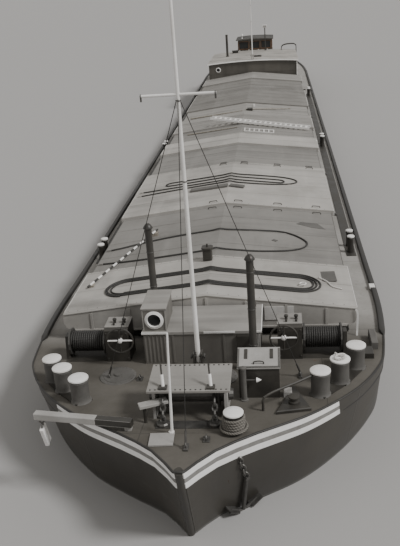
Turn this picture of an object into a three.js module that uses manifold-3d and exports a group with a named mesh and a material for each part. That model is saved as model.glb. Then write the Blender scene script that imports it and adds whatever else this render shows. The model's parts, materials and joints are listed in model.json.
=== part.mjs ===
// River barge at half scale: a towed inland barge of the 67 m by 8.2 m class with a covered
// hold, a low fore cabin, an aft deckhouse and a wheelhouse. +X is the bow, +Y is port, +Z is up.
// The origin is under the middle of the flat bottom. All sizes are millimetres of the model.
import * as THREE from 'three';
import { mergeVertices } from 'three/addons/utils/BufferGeometryUtils.js';
import Module from 'manifold-3d';

const wasm = await Module();
wasm.setup();

// Driving dimensions
const LENGTH = 33500; // over the gunwale rail
const BEAM = 4100; // moulded, inside the gunwale rail
const DEPTH = 1250; // flat bottom to deck amidships
const WATERLINE = 620; // light draught
const BILGE = 150; // height of the turn of the bilge
const BOW_SHEER = 300; // rise of the deck at the stem
const STERN_SHEER = 200; // rise of the deck at the stern
const BOW_SHEER_START = 11000;
const STERN_SHEER_START = -7000;
const FIT = 0.3; // gap between pieces that rest on each other

const RAIL = { out: 20, inside: 50, height: 45 };
const BELT = { out: 22, drop: 170, height: 34 };
const HOLD = { aft: -5600, fore: 13560, sideFore: 12900, floor: 80, halfWidth: 1985, foreHalfWidth: 1800,
  deck: 40, mouthHalfWidth: 1560 };
const COAMING = { halfWidth: 1600, wall: 40, aft: -5640, fore: 13860 };
const COVER = { halfWidth: 1650, edge: 1625, ridge: 1825, sheet: 32, skirt: 80, step: 32.3, widen: 40, lap: 60 };
const COVER_SEAMS = [13940, 12730, 10280, 7730, 5880, 4980, 3680, 2180, 680, -2120, -4270, -5740];
const HOUSE = { fore: -5830, aft: -9290, halfWidth: 1575, eaves: 2160, crown: 2235, wall: 30, roof: 34,
  overhang: 45 };
const WHEELHOUSE = { fore: -9345, aft: -10745, halfWidth: 665, eaves: 2655, crown: 2690, wall: 30, roof: 30,
  overhang: 70 };
const STEERING = { x: -9735, radius: 260, shaft: 16 };
const CABIN = { aft: 14000, fore: 14630, halfWidth: 620, top: 1720, wall: 25, roof: 30 };
const HOOD = { aft: 14110, fore: 14600, port: -365, starboard: -615, top: 2000, wall: 20 };
const MAST = { x: 15300, y: 42, pivot: 1820, top: 5100, yard: 4300, yardHalf: 325, radius: 21, pin: 14 };
const AFT_MAST = { x: -5960, pivot: 2400, top: 4300, radius: 19, pin: 12 };
const RUDDER = { x: -15800, stock: 45, aft: -16560, bottom: 70, top: 690, thickness: 50 };

// Finishes, from the photograph's tones
const paint = (color, roughness = 0.6, metalness = 0) =>
  new THREE.MeshStandardMaterial({ color, roughness, metalness });
const HULL_BLACK = paint(0x1d1b19, 0.55);
const DECK_BROWN = paint(0x4a443d, 0.8);
const COVER_GREY = paint(0x8b8578, 0.75);
const COVER_DARK = paint(0x5f5a52, 0.8);
const HOUSE_BLACK = paint(0x24211e, 0.5);
const WHITE = paint(0xe8e4da, 0.5);
const GEAR_BLACK = paint(0x191817, 0.5, 0.3);
const LIGHT_GREY = paint(0x8f8b84, 0.6);
const STEEL = paint(0x5b5854, 0.5, 0.8);
const WOOD = paint(0x5a3d28, 0.6);

// Solids: three.js makes each form, and the boolean library joins and cuts them
function solid(geometry) {
  const plain = new THREE.BufferGeometry();
  plain.setAttribute('position', geometry.getAttribute('position'));
  if (geometry.index) plain.setIndex(geometry.index);
  const merged = mergeVertices(plain, 1e-3);
  return new wasm.Manifold(new wasm.Mesh({
    numProp: 3,
    vertProperties: new Float32Array(merged.getAttribute('position').array),
    triVerts: new Uint32Array(merged.index.array),
  }));
}

function geometryOf(body) {
  const mesh = body.getMesh();
  const geometry = new THREE.BufferGeometry();
  geometry.setAttribute('position', new THREE.BufferAttribute(mesh.vertProperties, mesh.numProp));
  geometry.setIndex(new THREE.BufferAttribute(mesh.triVerts, 1));
  return geometry;
}

const join = (...bodies) => bodies.reduce((whole, body) => whole.add(body));
const cut = (body, ...tools) => tools.reduce((whole, tool) => whole.subtract(tool), body);

const box = (x, y, z) => solid(new THREE.BoxGeometry(x[1] - x[0], y[1] - y[0], z[1] - z[0])
  .translate((x[0] + x[1]) / 2, (y[0] + y[1]) / 2, (z[0] + z[1]) / 2));

// A cone frustum from one point to another
function rod(from, to, radius, endRadius = radius, sides = 12) {
  const a = new THREE.Vector3(...from);
  const b = new THREE.Vector3(...to);
  const along = b.clone().sub(a);
  const turn = new THREE.Quaternion().setFromUnitVectors(new THREE.Vector3(0, 1, 0), along.clone().normalize());
  const middle = a.clone().add(b).multiplyScalar(0.5);
  return solid(new THREE.CylinderGeometry(endRadius, radius, along.length(), sides)
    .applyQuaternion(turn).translate(middle.x, middle.y, middle.z));
}

// The hole that a shaft of this radius runs in, its flats just clear of the shaft
const RUNNING = 0.5;
const BORE_SIDES = 16;
function bore(from, to, shaftRadius) {
  const radius = (shaftRadius + RUNNING) / Math.cos(Math.PI / BORE_SIDES);
  return rod(from, to, radius, radius, BORE_SIDES);
}

// An outline in the YZ plane, run along X
function alongX(outline, x0, x1) {
  const shape = new THREE.Shape(outline.map(([y, z]) => new THREE.Vector2(y, z)));
  const geometry = new THREE.ExtrudeGeometry(shape, { depth: x1 - x0, bevelEnabled: false });
  const turn = new THREE.Matrix4().makeBasis(
    new THREE.Vector3(0, 1, 0), new THREE.Vector3(0, 0, 1), new THREE.Vector3(1, 0, 0));
  return solid(geometry.applyMatrix4(turn).translate(x0, 0, 0));
}

// An outline in the XZ plane, run along Y
function alongY(outline, y0, y1) {
  const shape = new THREE.Shape(outline.map(([x, z]) => new THREE.Vector2(x, z)));
  const geometry = new THREE.ExtrudeGeometry(shape, { depth: y1 - y0, bevelEnabled: false });
  return solid(geometry.rotateX(Math.PI / 2).translate(0, y1, 0));
}

// An outline in the XY plane, run up Z
function alongZ(outline, z0, z1) {
  const shape = new THREE.Shape(outline.map(([x, y]) => new THREE.Vector2(x, y)));
  return solid(new THREE.ExtrudeGeometry(shape, { depth: z1 - z0, bevelEnabled: false }).translate(0, 0, z0));
}

// A round profile of [radius, height] points about a vertical axis
const turned = (profile, sides = 16) => solid(
  new THREE.LatheGeometry(profile.map(([r, z]) => new THREE.Vector2(r, z)), sides).rotateX(Math.PI / 2));

// A pipe along a smooth path
function pipe(points, radius, steps, sides = 8) {
  const path = new THREE.CatmullRomCurve3(points.map((p) => new THREE.Vector3(...p)));
  const section = new THREE.Shape();
  for (let k = 0; k < sides; k += 1) {
    const angle = 2 * Math.PI * k / sides;
    const corner = [radius * Math.cos(angle), radius * Math.sin(angle)];
    if (k) section.lineTo(...corner);
    else section.moveTo(...corner);
  }
  return solid(new THREE.ExtrudeGeometry(section, { steps, extrudePath: path }));
}

// A skin through rings of equal length, closed by its end rings, or running round to the first ring
function loft(rings, round = false) {
  const count = rings[0].length;
  const triangles = [];
  const quad = (a, b, c, d) => triangles.push(a, c, b, a, d, c);
  for (let i = 0; i < rings.length - (round ? 0 : 1); i += 1) {
    const next = (i + 1) % rings.length;
    for (let k = 0; k < count; k += 1) {
      const side = (k + 1) % count;
      quad(i * count + k, next * count + k, next * count + side, i * count + side);
    }
  }
  const end = (rings.length - 1) * count;
  for (let k = 0; !round && k < count / 2 - 1; k += 1) {
    const far = count - 1 - k;
    quad(k, k + 1, far - 1, far);
    quad(end + far, end + far - 1, end + k + 1, end + k);
  }
  const geometry = new THREE.BufferGeometry();
  geometry.setAttribute('position', new THREE.Float32BufferAttribute(rings.flat(2), 3));
  geometry.setIndex(triangles);
  return solid(geometry);
}

// Hull form
// Columns: deck x, deck half-breadth, waterline x, waterline half-breadth, keel x, keel half-breadth
const BOW_STATIONS = [
  [16734, 40, 16370, 40, 15900, 30],
  [16400, 270, 16120, 260, 15620, 170],
  [16100, 620, 15900, 595, 15300, 420],
  [15755, 1100, 15580, 1030, 14900, 800],
  [15260, 1555, 15110, 1430, 14400, 1170],
  [14750, 1832, 14600, 1730, 13850, 1480],
  [14350, 1930, 14150, 1890, 13350, 1690],
  [13550, 2015, 13250, 2030, 12700, 1840],
  [12680, 2050, 12400, 2050, 11900, 1890],
  [11000, 2050, 11000, 2050, 11000, 1890],
];
const STERN_STATIONS = [
  [-7000, 2050, -7000, 2050, -7000, 1890],
  [-9500, 2050, -9500, 2035, -9000, 1840],
  [-11300, 1960, -11300, 1850, -10900, 1480],
  [-12950, 1720, -12900, 1460, -12500, 950],
  [-14500, 1380, -14100, 980, -13800, 470],
  [-15700, 990, -14950, 560, -14900, 170],
  [-16400, 590, -15350, 280, -15500, 60],
  [-16730, 200, -15500, 60, -15700, 40],
];
const SPLITS = 2; // sections between two stations

const mix = (a, b, t) => a + (b - a) * t;

function deckHeight(x) {
  if (x > BOW_SHEER_START) {
    return DEPTH + BOW_SHEER * ((x - BOW_SHEER_START) / (LENGTH / 2 - BOW_SHEER_START)) ** 2;
  }
  if (x < STERN_SHEER_START) {
    return DEPTH + STERN_SHEER * ((x - STERN_SHEER_START) / (-LENGTH / 2 - STERN_SHEER_START)) ** 2;
  }
  return DEPTH;
}

// Catmull-Rom through the rows of a station table
function fair(table) {
  const rows = [];
  const row = (i) => table[Math.min(Math.max(i, 0), table.length - 1)];
  for (let i = 0; i < table.length - 1; i += 1) {
    for (let s = 0; s < SPLITS; s += 1) {
      const t = s / SPLITS;
      rows.push(table[i].map((_, c) => {
        const [p, a, b, q] = [row(i - 1)[c], row(i)[c], row(i + 1)[c], row(i + 2)[c]];
        const bend = 2 * a + (b - p) * t + (2 * p - 5 * a + 4 * b - q) * t * t;
        const value = (bend + (3 * a - p - 3 * b + q) * t ** 3) / 2;
        return c % 2 ? Math.min(value, BEAM / 2) : value;
      }));
    }
  }
  rows.push(table[table.length - 1]);
  return rows;
}
const SECTIONS = [...fair(BOW_STATIONS), ...fair(STERN_STATIONS)];

// A section's port side from deck to keel, as [x, half-breadth, z]
function sideOf([deckX, deckY, waterX, waterY, keelX, keelY]) {
  return [
    [deckX, deckY, deckHeight(deckX)],
    [waterX, waterY, WATERLINE],
    [mix(keelX, waterX, 0.35), mix(keelY, waterY, 0.92), BILGE],
    [keelX, keelY, 0],
  ];
}

// The hull's skin, or one grown outwards to cut other pieces with. The ends grow twice as much
// in x, because the counter hangs over and its skin would otherwise move inwards as the deck rises.
function hullForm(grow = 0) {
  const stretch = 1 + 4 * grow / LENGTH;
  const rings = SECTIONS.map((section) => {
    const port = sideOf(section).map(([x, y, z], level, side) => {
      const up = level === 0 ? grow : level === side.length - 1 ? -grow : 0;
      return [x * stretch, y + grow, z + up];
    });
    return [...port, ...port.slice().reverse().map(([x, y, z]) => [x, -y, z])];
  });
  return loft(rings);
}

const hullTool = hullForm(FIT);
const deckSkin = hullForm(14); // the top of the plates that lie on the sloping deck
const seated = (body) => cut(body, hullTool);

function hull() {
  const hold = join(
    box([HOLD.aft, HOLD.sideFore], [-HOLD.halfWidth, HOLD.halfWidth], [HOLD.floor, DEPTH - HOLD.deck]),
    box([HOLD.sideFore - 1, HOLD.fore], [-HOLD.foreHalfWidth, HOLD.foreHalfWidth],
      [BILGE + HOLD.floor, DEPTH - HOLD.deck]),
  );
  const mouth = box([HOLD.aft, HOLD.fore], [-HOLD.mouthHalfWidth, HOLD.mouthHalfWidth],
    [DEPTH - HOLD.deck - 1, DEPTH + BOW_SHEER]);
  const rudderTrunk = bore([RUDDER.x, 0, BILGE], [RUDDER.x, 0, 2 * DEPTH], RUDDER.stock);
  return cut(hullForm(), hold, mouth, rudderTrunk);
}

// The port side's [x, half-breadth] outline at a drop below the deck, moved outwards by an offset
function outline(drop, offset) {
  const points = SECTIONS.map((section) => {
    const [deck, water] = sideOf(section);
    const t = drop / (deck[2] - water[2]);
    return [mix(deck[0], water[0], t), mix(deck[1], water[1], t)];
  });
  return points.map(([x, y], i) => {
    const before = points[i - 1] ?? [x, -y];
    const after = points[i + 1] ?? [x, -y];
    const run = new THREE.Vector2(after[0] - before[0], after[1] - before[1]).normalize();
    return [x + run.y * offset, y - run.x * offset];
  });
}

// A slice of the hull's form; columns of a level: drop that gives the plan, offset, drop of the level
function slice(levels) {
  const plans = levels.map(([drop, offset]) => outline(drop, offset));
  const rings = SECTIONS.map(([deckX], i) => {
    const port = levels.map(([, , down], level) => [...plans[level][i], deckHeight(deckX) - down]);
    return [...port, ...port.slice().reverse().map(([x, y, z]) => [x, -y, z])];
  });
  return loft(rings.filter((ring) => ring[0][1] > 3));
}

const gunwaleRail = () => seated(cut(
  slice([[0, RAIL.out, -RAIL.height], [0, RAIL.out, 20]]),
  slice([[0, -RAIL.inside, -RAIL.height - 1], [0, -RAIL.inside, 21]]),
));
const beltHalf = BELT.height / 2;
const rubBelt = () => seated(slice([
  [BELT.drop - beltHalf, BELT.out * 0.6, BELT.drop - beltHalf],
  [BELT.drop, BELT.out, BELT.drop],
  [BELT.drop + beltHalf, BELT.out * 0.6, BELT.drop + beltHalf],
]));

// Hold coaming and hatch covers
const coverSlope = (COVER.ridge - COVER.edge) / COVER.halfWidth;
const underCover = (y) => COVER.ridge - coverSlope * Math.abs(y) - COVER.sheet;

function coaming() {
  const { halfWidth, wall, aft, fore } = COAMING;
  const top = underCover(halfWidth) - FIT;
  const side = (sign) => box([aft, fore], [Math.min(sign * halfWidth, sign * (halfWidth - wall)),
    Math.max(sign * halfWidth, sign * (halfWidth - wall))], [DEPTH - 20, top]);
  const gable = [[-halfWidth, DEPTH - 20], [halfWidth, DEPTH - 20],
    [halfWidth, top + COVER.step], [0, underCover(0) + COVER.step - FIT], [-halfWidth, top + COVER.step]];
  return seated(join(side(1), side(-1),
    alongX(gable, fore - wall, fore), alongX(gable, aft, aft + wall)));
}

// Lugs on the covers' starboard edge where the tow wires are made fast: x by cover
const WIRE_LUGS = { 1: [12330, 11800], 2: [9180, 8950] };

// A pitched cover with skirts; every other one is higher, wider and laps over its neighbours
function hatchCover(index) {
  const high = index % 2 === 0;
  const lift = high ? COVER.step : 0;
  const half = COVER.halfWidth + (high ? COVER.widen : 0);
  const lastIndex = COVER_SEAMS.length - 2;
  const lapFore = high && index > 0 ? COVER.lap : 0;
  const lapAft = high && index < lastIndex ? COVER.lap : 0;
  const x0 = COVER_SEAMS[index + 1] - lapAft;
  const x1 = COVER_SEAMS[index] + lapFore;
  const roof = (y, drop) => COVER.ridge + lift - coverSlope * Math.abs(y) - drop;
  const inner = half - COVER.sheet;
  const foot = roof(half, COVER.skirt);
  const outline = [[-half, foot], [-inner, foot], [-inner, roof(inner, COVER.sheet)], [0, roof(0, COVER.sheet)],
    [inner, roof(inner, COVER.sheet)], [inner, foot], [half, foot], [half, roof(half, 0)], [0, roof(0, 0)],
    [-half, roof(half, 0)]];
  const lugs = (WIRE_LUGS[index] ?? []).map((x) => box([x - 22, x + 22], [-1610, -1566],
    [roof(1600, COVER.sheet / 2), roof(1566, 0) + 26]));
  return join(alongX(outline, x0, x1), ...lugs);
}

// The front cover ends in a deep face plate with rounded lower corners
function frontCover() {
  const half = COVER.halfWidth + COVER.widen;
  const face = { drop: 190, corner: 90, thick: 28 };
  const top = COVER.edge + COVER.step - coverSlope * COVER.widen - 10;
  const starboard = [[-half, top], [-half, top - face.drop + face.corner],
    [-half + face.corner * 0.3, top - face.drop + face.corner * 0.3], [-half + face.corner, top - face.drop]];
  const port = starboard.slice().reverse().map(([y, z]) => [-y, z]);
  const plate = alongX([[0, COVER.ridge + COVER.step - 10], ...starboard, ...port],
    COVER_SEAMS[0] - face.thick, COVER_SEAMS[0]);
  return join(hatchCover(0), plate);
}

// A cambered roof line in flats from the eaves to the crown
function camber(half, eaves, crown, steps = 4) {
  const points = [];
  for (let k = -steps; k <= steps; k += 1) {
    points.push([half * k / steps, crown - (crown - eaves) * (k / steps) ** 2]);
  }
  return points;
}

function camberedRoof({ fore, aft, halfWidth, eaves, crown, roof, overhang }) {
  const wide = camber(halfWidth + overhang, eaves, crown);
  return alongX([...wide, ...wide.slice().reverse().map(([y, z]) => [y, z + roof])],
    aft - overhang, fore + overhang);
}

// End walls reach up to the camber of their roof
function endWall(house, x0, x1) {
  const top = camber(house.halfWidth, house.eaves + 1, house.crown).map(([y, z]) => [y, z - FIT]);
  return seated(cut(alongX([[-house.halfWidth, DEPTH - 20], [house.halfWidth, DEPTH - 20], ...top.reverse()],
    x0, x1), camberedRoof({ ...house, eaves: house.eaves - FIT, crown: house.crown - FIT })));
}

function sideWall(house, sign) {
  const outer = sign * house.halfWidth;
  const inner = sign * (house.halfWidth - house.wall);
  return seated(cut(box([house.aft + house.wall + FIT, house.fore - house.wall - FIT],
    [Math.min(outer, inner), Math.max(outer, inner)], [DEPTH - 20, house.crown]),
  camberedRoof({ ...house, eaves: house.eaves - FIT, crown: house.crown - FIT, roof: house.crown })));
}

const HOUSE_PORTHOLE = { y: -1240, z: 1976, radius: 62 };
const HOUSE_DOOR = { y: [820, 1240], z: [1300, 2090] };
const HOUSE_WINDOWS = { x: [-6500, -7400, -8300], half: 170, z: [1760, 1990] };
const WHEELHOUSE_GLASS = [2330, 2590]; // sill and head of the wheelhouse windows
const WHEELHOUSE_DOOR = { x: [-10520, -10080], z: [1330, 2600] };

function houseWalls() {
  const { fore, aft, wall } = HOUSE;
  const porthole = rod([fore - 2 * wall, HOUSE_PORTHOLE.y, HOUSE_PORTHOLE.z],
    [fore + wall, HOUSE_PORTHOLE.y, HOUSE_PORTHOLE.z], HOUSE_PORTHOLE.radius, HOUSE_PORTHOLE.radius, 20);
  const doorway = box([aft - wall, aft + 2 * wall], HOUSE_DOOR.y, HOUSE_DOOR.z);
  const windows = (sign) => HOUSE_WINDOWS.x.map((x) => box([x - HOUSE_WINDOWS.half, x + HOUSE_WINDOWS.half],
    sign > 0 ? [HOUSE.halfWidth - 2 * wall, HOUSE.halfWidth + wall]
      : [-HOUSE.halfWidth - wall, -HOUSE.halfWidth + 2 * wall], HOUSE_WINDOWS.z));
  return {
    front: cut(endWall(HOUSE, fore - wall, fore), porthole),
    back: cut(endWall(HOUSE, aft, aft + wall), doorway),
    port: cut(sideWall(HOUSE, 1), ...windows(1)),
    starboard: cut(sideWall(HOUSE, -1), ...windows(-1)),
  };
}

// The deckhouse roof carries the mast's tabernacle, the chimney and the lamp post
function houseRoof() {
  const { x, pivot } = AFT_MAST;
  const cheek = (y) => cut(box([x - 45, x + 45], [y - 7, y + 7], [HOUSE.crown, pivot + 45]),
    bore([x, -60, pivot], [x, 60, pivot], AFT_MAST.pin));
  const shoe = join(box([x - 60, x + 60], [-50, 50], [HOUSE.crown, HOUSE.crown + HOUSE.roof + 12]),
    cheek(35), cheek(-35));
  const chimney = join(rod([-7670, -1000, HOUSE.eaves], [-7670, -1000, 3020], 42, 42, 14),
    rod([-7670, -1000, 3020], [-7670, -1000, 3040], 58, 20, 14));
  const lampPost = join(rod([-8970, 425, HOUSE.eaves], [-8970, 425, 3140], 18),
    box([-9020, -8920], [345, 505], [3120, 3215]));
  return join(camberedRoof(HOUSE), shoe, chimney, lampPost);
}

function wheelhouseWalls() {
  const { fore, aft, wall, halfWidth } = WHEELHOUSE;
  const [sill, head] = WHEELHOUSE_GLASS;
  const across = (x, y0, y1) => box([x - 2 * wall, x + 2 * wall], [y0, y1], [sill, head]);
  const along = (sign, x0, x1) => box([x0, x1], sign > 0 ? [halfWidth - 2 * wall, halfWidth + wall]
    : [-halfWidth - wall, -halfWidth + 2 * wall], [sill, head]);
  const doorway = box(WHEELHOUSE_DOOR.x, [halfWidth - 2 * wall, halfWidth + wall], WHEELHOUSE_DOOR.z);
  return {
    front: cut(endWall(WHEELHOUSE, fore - wall, fore), ...[-440, 0, 440].map((y) => across(fore, y - 180, y + 180))),
    back: cut(endWall(WHEELHOUSE, aft, aft + wall), ...[-330, 330].map((y) => across(aft, y - 230, y + 230))),
    port: cut(sideWall(WHEELHOUSE, 1), doorway, along(1, -9960, -9460)),
    starboard: cut(sideWall(WHEELHOUSE, -1), along(-1, -9960, -9460), along(-1, -10560, -10060)),
  };
}

// A door leaf that laps over its opening by DOOR.lap, modelled about its hinge line and running
// along +X from it; out is the sign of the Y side that the handle is on
const DOOR = { lap: 12, half: 12 };
function doorLeaf([from, to], [sill, head], out, glass = null) {
  const width = to - from + 2 * DOOR.lap;
  const height = head - sill + 2 * DOOR.lap;
  const leaf = box([0, width], [-DOOR.half, DOOR.half], [0, height]);
  const grip = height * 0.48;
  const handle = join(rod([width - 45, 0, grip], [width - 45, out * 34, grip], 7),
    rod([width - 40, out * 30, grip], [width - 110, out * 30, grip], 6));
  const pane = glass ? [box([width * 0.22, width * 0.78], [-20, 20], glass.map((z) => z - sill + DOOR.lap))] : [];
  return cut(join(leaf, handle), ...pane);
}

// A hand or steering wheel with its shaft, about the X axis
function spokedWheel(radius, rim, spokes, shaft, shaftRadius) {
  const ring = solid(new THREE.TorusGeometry(radius, rim, 6, 18).rotateY(Math.PI / 2));
  const bars = Array.from({ length: spokes }, (_, k) => {
    const angle = 2 * Math.PI * (k + 0.5) / spokes;
    return rod([0, 0, 0], [0, radius * Math.cos(angle), radius * Math.sin(angle)], rim * 0.8, rim * 0.8, 6);
  });
  return join(ring, ...bars, rod([-rim * 1.6, 0, 0], [rim * 1.6, 0, 0], rim * 2.4),
    rod(shaft[0], shaft[1], shaftRadius));
}

// Fore cabin
const CABIN_DOOR = { y: [385, 560], z: [deckHeight(CABIN.fore) + 30, 1680] };
const FORE_PIPE = { x: 14830, y: 555, top: 2650, radius: 37 };
const AFT_PIPE = { x: 14060, y: -562, top: 2750, radius: 37 };
const capped = (x, y, bottom, top, radius) => join(rod([x, y, bottom], [x, y, top], radius, radius, 14),
  rod([x, y, top - 30], [x, y, top + 18], radius + 13, radius * 0.5, 14));

function cabinWalls() {
  const { aft, fore, halfWidth, top, wall } = CABIN;
  const shell = cut(box([aft, fore], [-halfWidth, halfWidth], [DEPTH, top - FIT]),
    box([aft + wall, fore - wall], [-halfWidth + wall, halfWidth - wall], [DEPTH - 1, top]),
    box([fore - 2 * wall, fore + wall], CABIN_DOOR.y, CABIN_DOOR.z));
  const { x, y, top: pipeTop, radius } = FORE_PIPE;
  const bracket = box([fore - 5, x], [y + 10, y + 30], [top - 20, top - 4]);
  return seated(join(shell, capped(x, y, DEPTH, pipeTop, radius), bracket));
}

function cabinRoof() {
  const { aft, fore, halfWidth, top, roof } = CABIN;
  const slab = cut(box([aft - 12, fore + 12], [-halfWidth - 12, halfWidth + 12], [top, top + roof]),
    box([HOOD.aft + HOOD.wall, HOOD.fore - HOOD.wall], [HOOD.starboard + HOOD.wall, HOOD.port - HOOD.wall],
      [top - 1, top + roof + 1]));
  return join(slab, capped(AFT_PIPE.x, AFT_PIPE.y, top, AFT_PIPE.top, AFT_PIPE.radius));
}

function companionHood() {
  const { aft, fore, port, starboard, top, wall } = HOOD;
  const base = CABIN.top + CABIN.roof + FIT;
  const z = (top + base) / 2;
  const y = (port + starboard) / 2;
  return cut(box([aft, fore], [starboard, port], [base, top]),
    box([aft + wall, fore - wall], [starboard + wall, port - wall], [base - 1, top - wall]),
    rod([fore - 2 * wall, y, z], [fore + wall, y, z], 72, 72, 20));
}

// Deck fittings are built about their own foot, then set on the deck and cut to its slope
function onDeck(x, y, build) {
  const z = deckHeight(x);
  const moved = geometryOf(build).translate(x, y, z);
  return { body: geometryOf(seated(solid(moved))).translate(-x, -y, -z), place: [x, y, z] };
}

const BOLLARD = { radius: 88, cap: 97, height: 265, capHeight: 16 };
const barrel = ({ radius, cap, height, capHeight }) => turned([[0, -60], [radius * 1.15, -60], [radius * 1.15, 8],
  [radius, 20], [radius, height - capHeight - 14], [cap, height - capHeight], [cap, height], [0, height]], 14);

// Three barrels on one base plate along the bow's edge; columns: x, y of each barrel
const BOW_BARRELS = { port: [[14785, 1590], [15110, 1405], [15365, 1200]],
  starboard: [[15000, -1520], [15225, -1350], [15465, -1120]] };

function bowBollards(side) {
  const spots = BOW_BARRELS[side];
  const footprint = spots.slice(1).map(([x, y], i) => {
    const [x0, y0] = spots[i];
    const run = [x - x0, y - y0];
    return solid(new THREE.BoxGeometry(Math.hypot(...run) + 120, 180, DEPTH)
      .rotateZ(Math.atan2(run[1], run[0])).translate((x + x0) / 2, (y + y0) / 2, DEPTH * 1.5));
  });
  const plate = join(...footprint).intersect(deckSkin);
  const barrels = spots.map(([x, y]) => solid(geometryOf(barrel(BOLLARD)).translate(x, y, deckHeight(x))));
  return join(seated(join(plate, ...barrels)), ...(side === 'port' ? [seated(bowHandrail())] : []));
}

// A bent pipe rail from the deck by the windlass to the foremost barrel
function bowHandrail() {
  const [x, y] = BOW_BARRELS.port[2];
  const low = deckHeight(x);
  return pipe([[15690, 660, low - 20], [15690, 660, low + 90], [15685, 665, low + 155], [15650, 730, low + 185],
    [15500, 985, low + 215], [x + 30, y - 50, low + 235]], 12, 20);
}

// The low bollard by the stem has rope laid round it in turns
const ROPE_BOLLARD = { x: 16066, y: 412, radius: 78, cap: 86, height: 200, capHeight: 15, rope: 26, turns: 4 };
function ropeBollard() {
  const { radius, cap, height, capHeight, rope, turns } = ROPE_BOLLARD;
  const bights = Array.from({ length: turns }, (_, k) => 40 + k * (rope + 2)).flatMap((low) => [
    [radius, low], [radius + rope / 2, low + rope / 4], [radius + rope / 2, low + rope * 3 / 4], [radius, low + rope]]);
  return turned([[0, -60], [radius * 1.15, -60], [radius * 1.15, 8], [radius, 20], ...bights,
    [radius, height - capHeight - 8], [cap, height - capHeight], [cap, height], [0, height]], 12);
}

// A long deck plate carries the three pairs of small bollards of a side
const SIDE_PAIRS = [10980, 3880, -3670];
function sideBollards(sign) {
  const y = sign * 1880;
  const plate = box([SIDE_PAIRS[2] - 300, SIDE_PAIRS[0] + 300], [y - 70, y + 70], [DEPTH - 20, DEPTH + 8]);
  const posts = SIDE_PAIRS.flatMap((x) => [x - 130, x + 130]).map((x) => join(
    rod([x, y, DEPTH + 4], [x, y, DEPTH + 250], 42, 42, 10),
    rod([x, y, DEPTH + 238], [x, y, DEPTH + 258], 52, 52, 10)));
  return seated(join(plate, ...posts));
}

// Twin bollards each side of the afterdeck and the after peak's hatch, on one cross plate
const STERN = { x: -14200, y: 1130, half: 130, hatch: [-13820, -13440] };
const STERN_BOLLARD = { radius: 58, cap: 68, height: 225, capHeight: 14 };
function sternFittings() {
  const { x, y, half, hatch } = STERN;
  const plate = join(box([x - 240, x + 240], [-y - 110, y + 110], [DEPTH, 2 * DEPTH]),
    box([x + 239, hatch[1] + 40], [-230, 230], [DEPTH, 2 * DEPTH])).intersect(deckSkin);
  const posts = [-half, half].flatMap((step) => [-y, y].map((side) =>
    solid(geometryOf(barrel(STERN_BOLLARD)).translate(x + step, side, deckHeight(x + step)))));
  const deck = deckHeight(hatch[1]);
  return seated(join(plate, ...posts, box(hatch, [-190, 190], [deck - 20, deck + 130]),
    box([hatch[0] - 20, hatch[1] + 20], [-210, 210], [deck + 120, deck + 155])));
}

// Windlass
const WINDLASS = { x: 15650, half: 190, side: 330, axis: 165, top: 335, shaft: 30 };
function windlassFrame() {
  const { half, side, axis, top } = WINDLASS;
  const cheek = (y) => cut(alongY([[-half, -60], [half, -60], [half * 0.8, top], [-half * 0.8, top]], y - 14, y + 14),
    bore([0, y - 30, axis], [0, y + 30, axis], WINDLASS.shaft));
  const cover = alongY([[-half - 30, top + 4], [half + 40, top - 20], [half + 40, top - 4], [-half - 30, top + 22]],
    -375, 375);
  const lever = (y) => join(rod([half - 20, y, top], [half - 60, y - 10, top + 110], 11, 9, 8),
    box([half - 45, half + 5], [y - 30, y + 30], [top - 5, top + 16]));
  const tie = rod([-half * 0.6, -side, 60], [-half * 0.6, side, 60], 16);
  return join(cheek(side), cheek(-side), cover, lever(-230), lever(205), tie);
}

function windlassBarrel() {
  const { side, shaft } = WINDLASS;
  const wheel = (y) => join(rod([0, y - 32, 0], [0, y, 0], 118, 84, 14), rod([0, y, 0], [0, y + 32, 0], 84, 118, 14));
  return join(rod([0, -side - 60, 0], [0, side + 60, 0], shaft, shaft, 14),
    rod([0, -side + 30, 0], [0, side - 30, 0], 70, 70, 14), wheel(-235), wheel(235),
    rod([0, side + 22, 0], [0, side + 62, 0], 60, 50), rod([0, -side - 62, 0], [0, -side - 22, 0], 50, 60));
}

// A run of chain: stretched rings along a line, every second one turned a quarter
function chain(from, to, radius, bar) {
  const start = new THREE.Vector3(...from);
  const run = new THREE.Vector3(...to).sub(start);
  const links = Math.round(run.length() / (2.9 * radius - 1.5 * bar));
  const turn = new THREE.Quaternion().setFromUnitVectors(new THREE.Vector3(1, 0, 0), run.clone().normalize());
  const rings = Array.from({ length: links }, (_, k) => {
    const at = start.clone().addScaledVector(run, (k + 0.5) / links);
    return solid(new THREE.TorusGeometry(radius, bar, 5, 8).scale(1.45, 1, 1).rotateX(k % 2 ? Math.PI / 2 : 0)
      .applyQuaternion(turn).translate(at.x, at.y, at.z));
  });
  return join(...rings);
}

// Deck pipes under the windlass with the two chains rising out of them
function chainPipes() {
  const base = box([-60, 60], [-300, 300], [-60, 10]);
  const socket = turned([[0, -20], [62, -20], [62, 30], [48, 42], [0, 42]], 10);
  return join(base, ...[-235, 235].flatMap((y) => [
    solid(geometryOf(socket).translate(0, y, 0)),
    chain([0, y, 28], [-95, y, 215], 23, 9),
  ]));
}

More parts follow.
